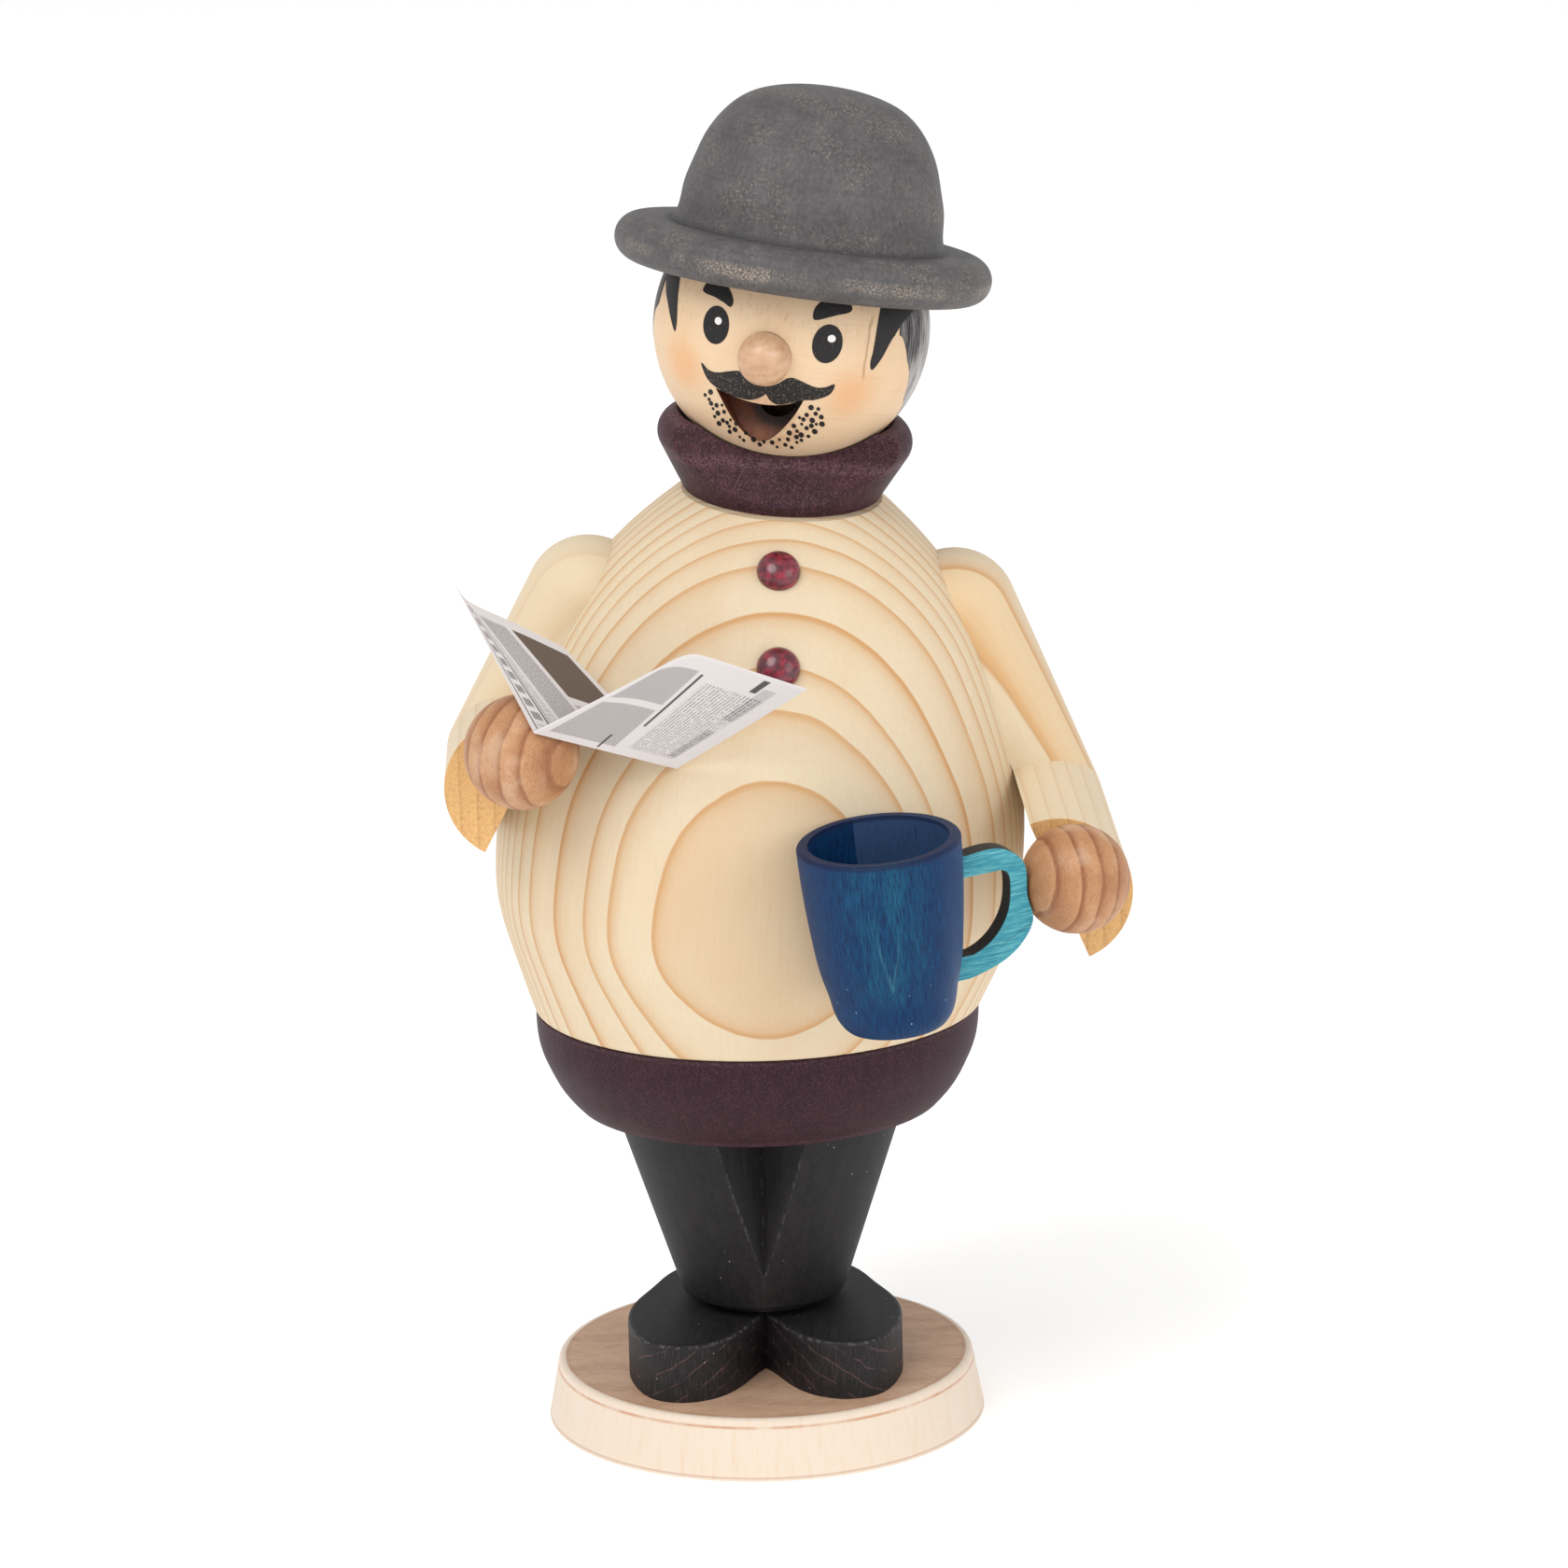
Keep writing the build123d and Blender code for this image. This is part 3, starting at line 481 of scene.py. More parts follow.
def beech_finish(name, place, centre, pitch, seed):
    """Beech ball: dark curved stripes round a far centre, with short dark flecks."""
    f = Finish(name, place)
    hues = f.hues
    x = f.x - centre[0]
    y = f.y - centre[1]
    bend = (f.noise((6, 6, 11), 2, seed) - 0.5) * 1.6
    rings = ((x * x + y * y) ** 0.5 + f.z * centre[2] + bend) / pitch
    part = rings % 1
    strength = f.noise((0.37, 1, 1), 0, seed, vector=f.join(rings.calc("FLOOR"), 0, 0))
    late = f.steps(part, beech_ramp) * (strength * 0.7 + 0.5)
    fibre = f.noise((0.2, 0.2, 2.6), 3, seed, 0.6)
    flecks = f.noise((0.5, 0.12, 0.16), 2, seed + 4).rise(0.6, 0.66)
    dashes = f.noise((0.14, 0.14, 0.9), 2, seed + 7).rise(0.6, 0.68)
    cloud = f.noise((4, 4, 5), 2, seed + 9)
    f.body = f.mix((late * 0.85 + fibre.rise(0.3, 0.8) * 0.3).least(1), hues.beech, hues.beech_dark)
    f.tint(cloud.rise(0.45, 0.75) * 0.35, hues.beech_dark)
    f.tint(cloud.rise(0.5, 0.25) * 0.3, tone(232, 204, 176))
    f.tint((flecks * 0.35 + dashes * 0.35).least(1), tone(128, 76, 46))
    return f.done(0.45 + fibre * 0.1, fibre * 0.014 + late * 0.01, gloss=0.34)


def nose_finish():
    """The nose: darker maple, its rings round a centre above."""
    low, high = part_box("nose")
    f = Finish("nose_wood", Matrix.Translation((low + high) / 2) @ turned("Z", -11))
    hues = f.hues
    rings = (f.x * f.x + (f.z - 5) * (f.z - 5)) ** 0.5
    part = (rings / 1.3 + f.noise((2, 2, 2), 2, 3) * 1.5) % 1
    fine = f.noise((0.35, 0.35, 0.5), 3, 6, 0.7)
    cloud = f.noise((2.2, 2.2, 1.6), 3, 9)
    shade = part.rise(0.4, 1.0) * 0.12 + fine.rise(0.4, 0.7) * 0.22 + cloud.rise(0.45, 0.7) * 0.25
    f.body = f.mix(shade.least(1), hues.nose, tone(164, 112, 82))
    f.tint(cloud.rise(0.45, 0.3) * 0.35, tone(226, 196, 172))
    return f.done(0.4, fine * 0.012, gloss=0.42, coat_weight=0.08)


def dowel_finish():
    """Beech dowel stock, for the pegs inside."""
    f = Finish("dowel_stock")
    hues = f.hues
    fibre = f.noise((0.4, 0.4, 5), 3, 1, 0.6)
    f.body = f.mix(fibre.rise(0.3, 0.8) * 0.7, hues.beech, hues.beech_dark)
    return f.done(0.55, fibre * 0.012)


# Finishes of stained and painted wood, and of metal
def stain(f, light, dark, sizes, seed=0):
    """Stained grain: two tones mixed along the fibres, and the fibre noise for relief."""
    fibre = f.noise(sizes, 5, seed, 0.68)
    cloud = f.noise([size * 5 for size in sizes], 2, seed + 9)
    return f.mix((fibre.rise(0.34, 0.66) * 0.65 + cloud.rise(0.35, 0.7) * 0.35).least(1), dark, light), fibre


def base_finish():
    """The base: a brown stained top inside a cream bead, and a bare turned side."""
    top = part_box("base_plate")[1].z / MM
    stain_edge = 27.5
    f = Finish("base_wood")
    hues = f.hues
    around = f.unrolled()
    reach = f.radius()
    side_grain = f.noise((0.03, 1, 7), 3, 3, 0.65, around)
    fine = f.noise((0.007, 1, 3), 2, 5, 0.6, around)
    side = f.mix(side_grain.rise(0.46, 0.8) * 0.5, hues.base, hues.base_grain)
    side = f.mix(fine.rise(0.5, 0.8) * 0.25, side, hues.base_grain)
    patchy = f.noise((0.25, 1, 4), 3, 2, 0.6, f.join(f.split(around)[0], 0, 0))
    under = f.z.band(top - 1.25, top - 0.95, 0.2) * patchy.rise(0.3, 0.6)
    side = f.mix(under * 0.85, side, hues.burnish)
    foot = f.z.band(0.3, 0.55, 0.12)
    side = f.mix(foot * 0.45, side, tone(170, 120, 104))
    fleck = f.noise((1.6, 0.22, 1), 4, 5, 0.75)
    cloud = f.noise((12, 4, 9), 3, 8)
    spots = fleck.rise(0.42, 0.7) * 0.6 + cloud.rise(0.35, 0.7) * 0.4
    wood = f.mix(spots.least(1), hues.base_top, hues.base_top_dark)
    wood = f.mix(f.noise((0.5, 0.12, 1), 2, 11, 0.7).rise(0.58, 0.7) * 0.3, wood, tone(146, 112, 88))
    stained = reach.rise(stain_edge + 0.25, stain_edge) * f.z.rise(top - 0.3, top - 0.1)
    dark_edge = reach.band(stain_edge - 0.4, stain_edge, 0.15) * 0.25
    f.body = f.mix(stained, side, f.mix(dark_edge, wood, hues.base_top_dark))
    lathe = f.noise((0.4, 1, 1), 2, 6, 0.5, f.join(reach, 0, f.z))
    relief = fleck * 0.012 * stained + side_grain * 0.008 + lathe * 0.01
    return f.done(0.5 + fleck * 0.1, relief, gloss=0.32)


def black_finish(name, sizes, seed, shoes):
    """Black stain with fine grain and a few pale specks, and the marks of shoes or trousers."""
    f = Finish(name)
    hues = f.hues
    f.body, fibre = stain(f, hues.black_light, hues.black, sizes, seed)
    if shoes:
        wall = f.z.rise(16.0, 15.4)
        apart = abs(f.x)
        across = (apart * 0.55 + f.z * 0.85 + (f.noise((4, 4, 4), 2, seed) - 0.5) * 1.5) / 2.3
        rings = (across % 1).rise(0.86, 0.97) * f.noise((2, 2, 1.2), 3, seed + 1).rise(0.36, 0.6)
        rays = f.noise((0.25, 0.25, 2.2), 3, seed + 3).rise(0.5, 0.68)
        f.tint(wall * (rings * 0.5 + rays * 0.18).least(1), tone(104, 74, 76))
        edge = f.z.band(15.75, 16.1, 0.12) * f.noise((0.8, 0.8, 0.8), 3, seed + 5, 0.8).rise(0.46, 0.62)
        f.tint(edge * 0.55, hues.grey)
    else:
        # The cone of the trousers, and where the groove's two walls meet
        foot, foot_radius, widening, groove_depth = 17.5, 11.12, 0.327, 12.8
        cone = (f.z - foot) * widening + foot_radius
        wall = abs(f.radius() - cone).rise(0.35, 0.05)
        lip = wall * abs(abs(f.x) - (-f.y - groove_depth)).rise(0.35, 0.1)
        worn_seam = f.noise((0.6, 0.6, 1.2), 3, 7, 0.8).rise(0.47, 0.62)
        f.tint(lip * worn_seam * f.y.rise(-8, -10) * 0.4, hues.grey)
        f.tint(abs(f.x).rise(0.3, 0.05) * f.y.rise(-11, -12) * worn_seam * 0.25, hues.grey)
    specks = f.dots((2.4, 2.4, 2.4), 0.05, seed)
    f.tint(specks * 0.8, hues.bare)
    return f.done(0.52 + fibre * 0.15, fibre * 0.025, gloss=0.3)


def plum_finish(name, place, edges, deep=0.0):
    """Burgundy stain, mottled, with pale speckled edges at the given heights. deep darkens it."""
    f = Finish(name, place)
    hues = f.hues
    f.body, fibre = stain(f, hues.plum, hues.plum_dark, (0.4, 0.4, 1.4), 3)
    pepper = f.noise((0.22, 0.22, 0.3), 3, 14, 0.75)
    f.tint(pepper.rise(0.52, 0.64) * 0.35, hues.plum_light)
    f.tint(pepper.rise(0.46, 0.36) * 0.4, hues.plum_dark)
    rings = f.noise((12, 12, 0.5), 2, 5)
    f.tint(rings.rise(0.5, 0.8) * 0.25, hues.plum_dark)
    chips = f.noise((0.35, 0.35, 0.3), 4, 4, 0.75).rise(0.42, 0.7)
    for height, width in edges:
        f.tint(abs(f.z - height).rise(width, width * 0.2) * chips * 0.6, hues.plum_light)
    streaks = f.noise((0.03, 1, 6), 3, 9, 0.6, f.unrolled()).rise(0.55, 0.8)
    f.tint(streaks * (0.25 - deep * 0.4), hues.plum_light)
    f.tint(deep, tone(36, 8, 20))
    return f.done(0.5 + fibre * 0.16, fibre * 0.022 + rings * 0.01, gloss=0.22)


def hat_finish(name, place, seed, brim=None):
    """Grey stain with turning lines and fine mottling, and painted shadow where the crown meets the brim.
    brim is its radius and half its height.
    """
    f = Finish(name, place)
    hues = f.hues
    reach = f.radius()
    f.body, fibre = stain(f, hues.grey, hues.grey_dark, (0.55, 0.55, 0.9), seed)
    f.tint(0.3, hues.grey)
    lines = f.noise((0.5, 1, 0.5), 2, seed, 0.6, f.join(reach, 0, f.z))
    f.tint(lines.rise(0.5, 0.75) * 0.4, hues.grey_dark)
    mottle = f.noise((0.4, 0.4, 0.4), 3, seed + 4, 0.75)
    patch = f.noise((7, 7, 7), 2, seed + 6)
    f.tint(mottle.rise(0.5, 0.66) * patch.rise(0.4, 0.65) * 0.3, hues.bare)
    if brim:
        radius, middle = brim
        around = f.unrolled()
        rub = f.noise((0.012, 1, 0.3), 3, seed + 2, 0.8, around)
        worn_at = f.noise((0.55, 1, 30), 1, seed + 3, 0.5, around).rise(0.42, 0.6)
        band = abs(f.z - middle + 0.5 + (patch - 0.5) * 2).rise(1.3, 0.2)
        band = band * reach.rise(radius - 0.9, radius - 0.2)
        f.tint(band * worn_at * rub.rise(0.47, 0.6) * 0.8, hues.bare)
        # Painted shadow: a dark ring on the brim's top just outside the crown, where the crown's bulge
        # shades it
        foot = reach.rise(19.4, 18.2) * f.z.rise(middle, 2 * middle)
        f.tint(foot * 0.75, tone(30, 28, 31))
        streak = f.noise((1.1, 14, 1.1), 2, seed + 9).rise(0.5, 0.7)
        above = f.z.rise(2 * middle - 0.8, 2 * middle - 0.2)
        f.tint(above * streak * 0.35, hues.grey_dark)
    else:
        # Painted shadow along the crown's lowest millimetre, under its bulge
        f.tint(f.z.rise(1.1, 0.1) * 0.5, tone(40, 38, 40))
    f.tint(f.dots((2.1, 2.1, 2.1), 0.05, seed) * 0.5, hues.bare)
    relief = fibre * 0.02 + lines * 0.015 + mottle * 0.012
    return f.done(0.52 + fibre * 0.14, relief, gloss=0.34)


def mug_finish():
    """Blue stain: fine upright grain, a pointed teal streak at the front and a navy rim."""
    f = Finish("blue_mug", mug_frame)
    hues = f.hues
    around = f.x.calc("ARCTAN2", -f.y)
    upright = f.join(around * 10, 0, f.z)
    fibre = f.noise((0.16, 1, 2.4), 4, 2, 0.7, upright)
    broad = f.noise((1.6, 1, 9), 3, 6, 0.6, upright)
    f.body = f.mix(fibre.rise(0.36, 0.66), hues.blue_dark, hues.blue)
    side = (around + 0.25).rise(0.5, 1.5)
    f.tint(side * 0.45, tone(78, 100, 138))
    front = abs(around + 0.35)
    middle = front.rise(0.75, 0.1) * f.z.rise(3, 9) * broad.rise(0.3, 0.62) * fibre.rise(0.3, 0.6)
    f.tint(middle * 0.22, hues.teal)
    point = abs(front * 16 + (broad - 0.5) * 2 + (f.z - 7.5) * -0.32).rise(0.5, 0.1)
    f.tint(point * f.z.band(6.6, 14, 1.2) * broad.rise(0.3, 0.6) * 0.16, hues.teal_light)
    dark = f.noise((0.35, 1, 4), 3, 12, 0.7, upright).rise(0.56, 0.7)
    f.tint(dark * 0.5, tone(8, 26, 62))
    f.tint(f.z.rise(24.2, 24.7) * 0.75, tone(24, 34, 66))
    specks = f.dots((1.5, 1.5, 2.0), 0.07, 3) * f.z.rise(13, 1)
    f.tint(specks * 0.8, tone(190, 215, 225))
    return f.done(0.46 + fibre * 0.14, fibre * 0.03, gloss=0.18)


def handle_finish():
    """Teal ply with pale grain, and sawn edges that are burnt black."""
    f = Finish("teal_handle", mug_frame)
    hues = f.hues
    fibre = f.noise((4.0, 0.22, 0.22), 4, 2, 0.75)
    dark = f.noise((3.0, 0.3, 0.3), 3, 9, 0.7)
    f.body = f.mix(fibre.rise(0.42, 0.72), hues.teal, hues.teal_light)
    f.tint(dark.rise(0.5, 0.72) * 0.6, tone(20, 96, 118))
    line = abs(f.z - 8.6 - (f.x - 17) * 0.5).rise(0.28, 0.08) * f.x.rise(14.4, 15)
    f.tint(line * 0.25, tone(24, 60, 60))
    half_thickness = 1.4
    face = (-f.y).rise(half_thickness - 0.22, half_thickness - 0.1)
    edge = f.mix(fibre.rise(0.3, 0.8) * 0.35, hues.burnt, tone(18, 40, 56))
    f.body = f.mix(face, edge, f.body)
    return f.done(0.5 + fibre * 0.1, fibre * 0.02, gloss=0.34)


def button_finish():
    """Glossy burgundy lacquer, thinner and redder where the dome is rubbed."""
    f = Finish("button_lacquer")
    hues = f.hues
    cloud = f.noise((1.3, 1.3, 1.0), 3, 8, 0.6)
    f.body = f.mix(cloud.rise(0.42, 0.7), hues.lacquer, hues.lacquer_light)
    return f.done(0.3, cloud * 0.02, coat_weight=0.5, coat_roughness=0.12, gloss=0.5)


def metal_finish(name, red, green, blue, rough):
    """Plain rolled metal with fine scratches."""
    f = Finish(name)
    scratch = f.noise((0.15, 4, 0.15), 3, 2, 0.6)
    shade = tone(red * 0.8, green * 0.8, blue * 0.8)
    f.body = f.mix(scratch.rise(0.35, 0.75) * 0.5, tone(red, green, blue), shade)
    return f.done(rough + scratch * 0.15, scratch * 0.004, metallic=1.0)


def paint_finish(name="black_paint", wear=0.3):
    """Black brush paint with dry scratches that let the wood show."""
    f = Finish(name, head_frame)
    hues = f.hues
    dry = f.noise((0.14, 0.14, 0.9), 4, 4, 0.75)
    chips = f.noise((0.3, 0.3, 0.3), 4, 9, 0.8).rise(0.66 - wear * 0.2, 0.74 - wear * 0.2)
    f.body = f.mix(dry.rise(0.6, 0.72) * 0.35, tone(24, 21, 21), hues.grey)
    f.tint(chips * wear, tone(170, 150, 128))
    return f.done(0.42 + dry * 0.2, dry * 0.02, gloss=0.36)


def hair_finish():
    """A thin wash of black, brushed downwards, that lets the wood show."""
    f = Finish("hair_wash", head_frame)
    hues = f.hues
    brush = f.noise((0.014, 1, 8), 4, 4, 0.75, f.unrolled())
    cloud = f.noise((3, 3, 5), 3, 6)
    beside = f.y.rise(-1.5, -7.5)
    pale = brush.rise(0.38, 0.6) * 0.7 + cloud.rise(0.35, 0.7) * 0.35
    pale = pale + f.z.rise(3, -9) * 0.3 - beside * 0.55
    f.body = f.mix(pale.least(1).most(0), tone(34, 32, 33), hues.hair)
    f.tint(f.z.rise(-8, -11) * 0.4, hues.maple)
    return f.done(0.55, brush * 0.02, gloss=0.3)


# Face paint: thin films on the head ball
def on_head(x, z, lift):
    """The point of the head ball, or a lift above it, that has this x and z."""
    reach = head_radius + lift
    z += face_lift
    return Vector((x, -math.sqrt(reach * reach - x * x - z * z), z))


def by_angles(turn, rise, reach):
    """The point of a ball at an angle round from the front and an angle up."""
    level = math.cos(rise) * reach
    return Vector((math.sin(turn) * level, -math.cos(turn) * level, math.sin(rise) * reach))


def smooth_point(before, start, end, after, t):
    """The point at a share t of the way from start to end, on a curve through four points."""
    return 0.5 * (
        2 * start + (end - before) * t + (2 * before - 5 * start + 4 * end - after) * t * t
        + (3 * start - before - 3 * end + after) * t ** 3
    )


def rounded(points, parts=6):
    """A closed curve through points, as a list of closer points."""
    count = len(points)
    found = []
    for index in range(count):
        four = [Vector(points[(index + k) % count]) for k in (-1, 0, 1, 2)]
        found += [smooth_point(*four, part / parts) for part in range(parts)]
    return found


def film(bm, outline, lift, corners=False):
    """Adds a closed film of paint, from an outline of x and z in the head's frame."""
    edge = [Vector(point) for point in outline] if corners else rounded(outline)
    start = len(bm.verts)
    face = bm.faces.new([bm.verts.new((x, 0, z)) for x, z in edge])
    made = bmesh.ops.triangulate(bm, faces=[face], quad_method="BEAUTY", ngon_method="BEAUTY")
    inner = list({edge for face in made["faces"] for edge in face.edges if len(edge.link_faces) == 2})
    bmesh.ops.subdivide_edges(bm, edges=inner, cuts=5, use_grid_fill=True)
    bm.verts.ensure_lookup_table()
    for vert in bm.verts[start:]:
        vert.co = on_head(vert.co.x, vert.co.z, lift)


def ring(middle, width, height, tilt, count):
    """Points of an upright oval."""
    turn = math.radians(tilt)
    found = []
    for index in range(count):
        angle = 2 * math.pi * index / count
        x, z = math.cos(angle) * width, math.sin(angle) * height
        found.append((middle[0] + x * math.cos(turn) - z * math.sin(turn),
                      middle[1] + x * math.sin(turn) + z * math.cos(turn)))
    return found


def closed_film(bm):
    """Gives the films their thickness, down into the wood."""
    sizes = bpy.context.scene.smoker_sizes
    bmesh.ops.recalc_face_normals(bm, faces=bm.faces)
    for face in bm.faces:
        if face.normal.dot(face.calc_center_median()) < 0:
            face.normal_flip()
    bmesh.ops.solidify(bm, geom=bm.faces[:], thickness=2 * sizes.paint_film / MM)


# Outlines as x and z in the head's frame. An eye is a middle, half a width, half a height and a tilt
eyes = (((-7.2, 0.25), 1.85, 2.5, 3.0), ((7.6, 0.05), 1.85, 2.55, -3.0))
eye_lights = ((-6.95, 0.85), (8.05, 0.8))
eye_light_radius = 0.5
brows = (
    [
        (-9.9, 4.4), (-9.4, 3.95), (-8.1, 3.75), (-6.6, 3.3), (-5.6, 2.9), (-5.3, 3.6),
        (-5.8, 4.7), (-6.8, 5.7), (-8.1, 5.95), (-9.3, 5.55),
    ],
    [
        (5.4, 3.1), (5.3, 4.0), (5.7, 5.0), (6.7, 5.75), (8.2, 6.0), (9.3, 5.7), (9.9, 4.9),
        (9.6, 4.3), (8.3, 3.85), (6.9, 3.3), (5.9, 2.95),
    ],
)
moustache = [
    (-8.7, -5.1), (-7.5, -5.85), (-6.2, -5.9), (-4.7, -5.45), (-3.2, -5.15), (-2.3, -5.7),
    (-1.0, -6.35), (0.5, -6.6), (1.9, -6.05), (3.0, -5.2), (3.9, -4.95), (5.1, -5.3), (6.8, -5.85),
    (8.0, -5.7), (9.1, -5.2), (8.6, -6.6), (6.9, -7.55), (5.5, -7.8), (3.9, -8.35), (2.2, -8.85),
    (1.1, -8.4), (0.55, -7.65), (0.1, -8.05), (-0.9, -8.6), (-1.9, -8.85), (-4.0, -8.65),
    (-6.1, -8.05), (-7.7, -7.0),
]
sideburns = (
    [
        (-14.1, 5.7), (-13.7, 3.6), (-13.4, 1.6), (-13.1, -0.7), (-13.25, -1.9), (-14.1, -0.5),
        (-15.0, 1.3), (-15.9, 3.1), (-16.4, 5.6),
    ],
    [
        (13.3, 5.7), (13.5, 3.0), (13.3, 0.5), (13.0, -1.9), (13.3, -2.9), (14.2, -1.3),
        (15.0, 1.1), (15.8, 3.2), (16.6, 5.6),
    ],
)
stubble = (
    (-7.1, -8.8), (-7.3, -9.9), (-6.2, -10.5), (-6.7, -11.1), (-5.1, -11.2), (-6.0, -11.6),
    (-6.5, -12.2), (-5.3, -12.5), (-4.2, -12.2), (-3.4, -12.6), (-5.9, -13.1), (-4.4, -13.2),
    (-4.4, -14.0), (-3.0, -14.5), (-2.1, -13.7), (-1.1, -14.5), (0.3, -14.6), (1.4, -14.5),
    (2.4, -13.9), (3.1, -14.6), (3.7, -12.7), (4.7, -12.3), (4.3, -11.6), (5.3, -11.2),
    (5.9, -9.8), (6.6, -10.5), (7.3, -8.8), (7.7, -9.9), (7.1, -11.0), (5.9, -11.7), (6.9, -12.1),
    (6.1, -12.9), (4.6, -13.2), (4.6, -14.0), (5.5, -10.5), (6.4, -8.7), (-7.9, -9.4),
    (-7.0, -10.4), (-5.4, -10.3), (-4.7, -12.7), (-3.6, -13.5), (-2.5, -14.9), (-0.3, -15.1),
    (2.0, -15.1), (3.5, -13.7), (5.2, -12.8), (5.2, -13.6), (6.5, -11.3), (5.0, -10.3),
    (7.0, -9.5), (7.8, -10.9), (3.9, -14.9),
)
stubble_radii = (0.36, 0.24, 0.31, 0.2, 0.28)


def paint(name, outlines, lift, material, corners=False):
    """Makes a piece of paint on the head from its outlines."""
    bm = bmesh.new()
    for outline in outlines:
        film(bm, outline, lift, corners)
    closed_film(bm)
    piece(name, bm, head_frame, material, "figure")


class SMOKER_OT_face(bpy.types.Operator):
    """Paint eyes, brows, moustache, sideburns and stubble on the head"""

    bl_idname = "smoker.face"
    bl_label = "Face Paint"

    def execute(self, context):
        lift = context.scene.smoker_sizes.paint_film / MM
        black = paint_finish()
        ovals = [ring(*eye, 28) for eye in eyes]
        paint("painted_eyes", ovals, lift, black, corners=True)
        paint("painted_brows", brows, lift, black)
        paint("painted_moustache", [moustache], lift, paint_finish("scratched_paint", 0.5))
        paint("painted_sideburns", sideburns, lift, black)
        count = len(stubble_radii)
        radii = [stubble_radii[index % count] for index in range(len(stubble))]
        spots = [ring(middle, radius, radius * 1.1, 0, 9) for middle, radius in zip(stubble, radii)]
        paint("painted_stubble", spots, lift, black, corners=True)
        f = Finish("highlight_paint", head_frame)
        fine = f.noise((0.3, 0.3, 0.3), 3, 2)
        f.body = f.mix(fine.rise(0.5, 0.8) * 0.3, f.hues.highlight, tone(190, 190, 190))
        white = f.done(0.4, fine * 0.02)
        lights = [ring(middle, eye_light_radius, eye_light_radius, 0, 14) for middle in eye_lights]
        paint("painted_eye_lights", lights, 2 * lift, white, corners=True)
        return {"FINISHED"}


class SMOKER_OT_hair(bpy.types.Operator):
    """Brush the hair round the back of the head, from one sideburn to the other"""

    bl_idname = "smoker.hair"
    bl_label = "Hair"

    # Angles round from the front and up from the level of the ball's middle, in degrees
    hair_start = 60.0
    hair_end = 294.0
    hair_top = 20.0
    hair_foot = -34.0
    # Waves of the lower edge, as a height in degrees and a speed
    strands = ((1.6, 61), (1.1, 143))

    def execute(self, context):
        bm = bmesh.new()
        bmesh.ops.create_grid(bm, x_segments=120, y_segments=24, size=0.5)
        reach = head_radius + context.scene.smoker_sizes.paint_film / MM * 0.8
        for vert in bm.verts:
            along, up = vert.co.x + 0.5, vert.co.y + 0.5
            turn = self.hair_start + (self.hair_end - self.hair_start) * along
            ends = min(along, 1 - along) * 8
            foot = self.hair_top + (self.hair_foot - self.hair_top) * min(1.0, 0.25 + ends * 0.75)
            foot += sum(height * math.sin(along * speed) for height, speed in self.strands)
            rise = foot + (self.hair_top - foot) * up
            vert.co = by_angles(math.radians(turn), math.radians(rise), reach)
        closed_film(bm)
        piece("painted_hair", bm, head_frame, hair_finish(), "figure")
        return {"FINISHED"}


class SMOKER_OT_stand(bpy.types.Operator):
    """Finish the base, the shoes, the trousers and the dish"""

    bl_idname = "smoker.stand"
    bl_label = "Stand"

    def execute(self, context):
        dress(base_finish(), "base_plate")
        dress(black_finish("black_shoes", (0.3, 2.4, 0.3), 4, True), "left_shoe", "right_shoe")
        dress(black_finish("black_trousers", (0.3, 0.3, 2.6), 2, False), "trousers")
        dish_edges = ((waist_z - 0.3, 0.5), (45.6, 0.5))
        dress(plum_finish("plum_dish", Matrix.Identity(4), dish_edges, 0.55), "waist_dish")
        return {"FINISHED"}


class SMOKER_OT_inside(bpy.types.Operator):
    """Finish what is hidden: dowels, neck tube, incense plate and its nail"""

    bl_idname = "smoker.inside"
    bl_label = "Inside"

    def execute(self, context):
        dowels = [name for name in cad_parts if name.endswith("_dowel")]
        dress(dowel_finish(), "neck_tube", *dowels)
        dress(metal_finish("tin_plate", 196, 192, 184, 0.36), "incense_tray")
        dress(metal_finish("steel_nail", 150, 150, 154, 0.3), "tray_nail")
        return {"FINISHED"}


class SMOKER_OT_coat(bpy.types.Operator):
    """Finish the pine coat, its rings set as the front shows them"""

    bl_idname = "smoker.coat"
    bl_label = "Coat"

    ring_depths = (31.55, 28.15, 25.7, 21.65, 16.9, 13.95, 11.5, 9.2, 7.1)
    ring_pitch = 2.3
    ring_frame = lean_frame @ turned("X", 2.7) @ turned("Z", 1.3)

    def execute(self, context):
        pine = pine_finish("pine_coat", self.ring_frame, self.ring_depths, self.ring_pitch, 4.0, heart=0.26)
        dress(pine, "torso")
        dress(plum_finish("plum_collar", collar_frame, ((6.1, 1.1), (9.9, 0.6), (0.0, 0.4))), "collar")
        dress(button_finish(), "upper_button", "lower_button")
        return {"FINISHED"}


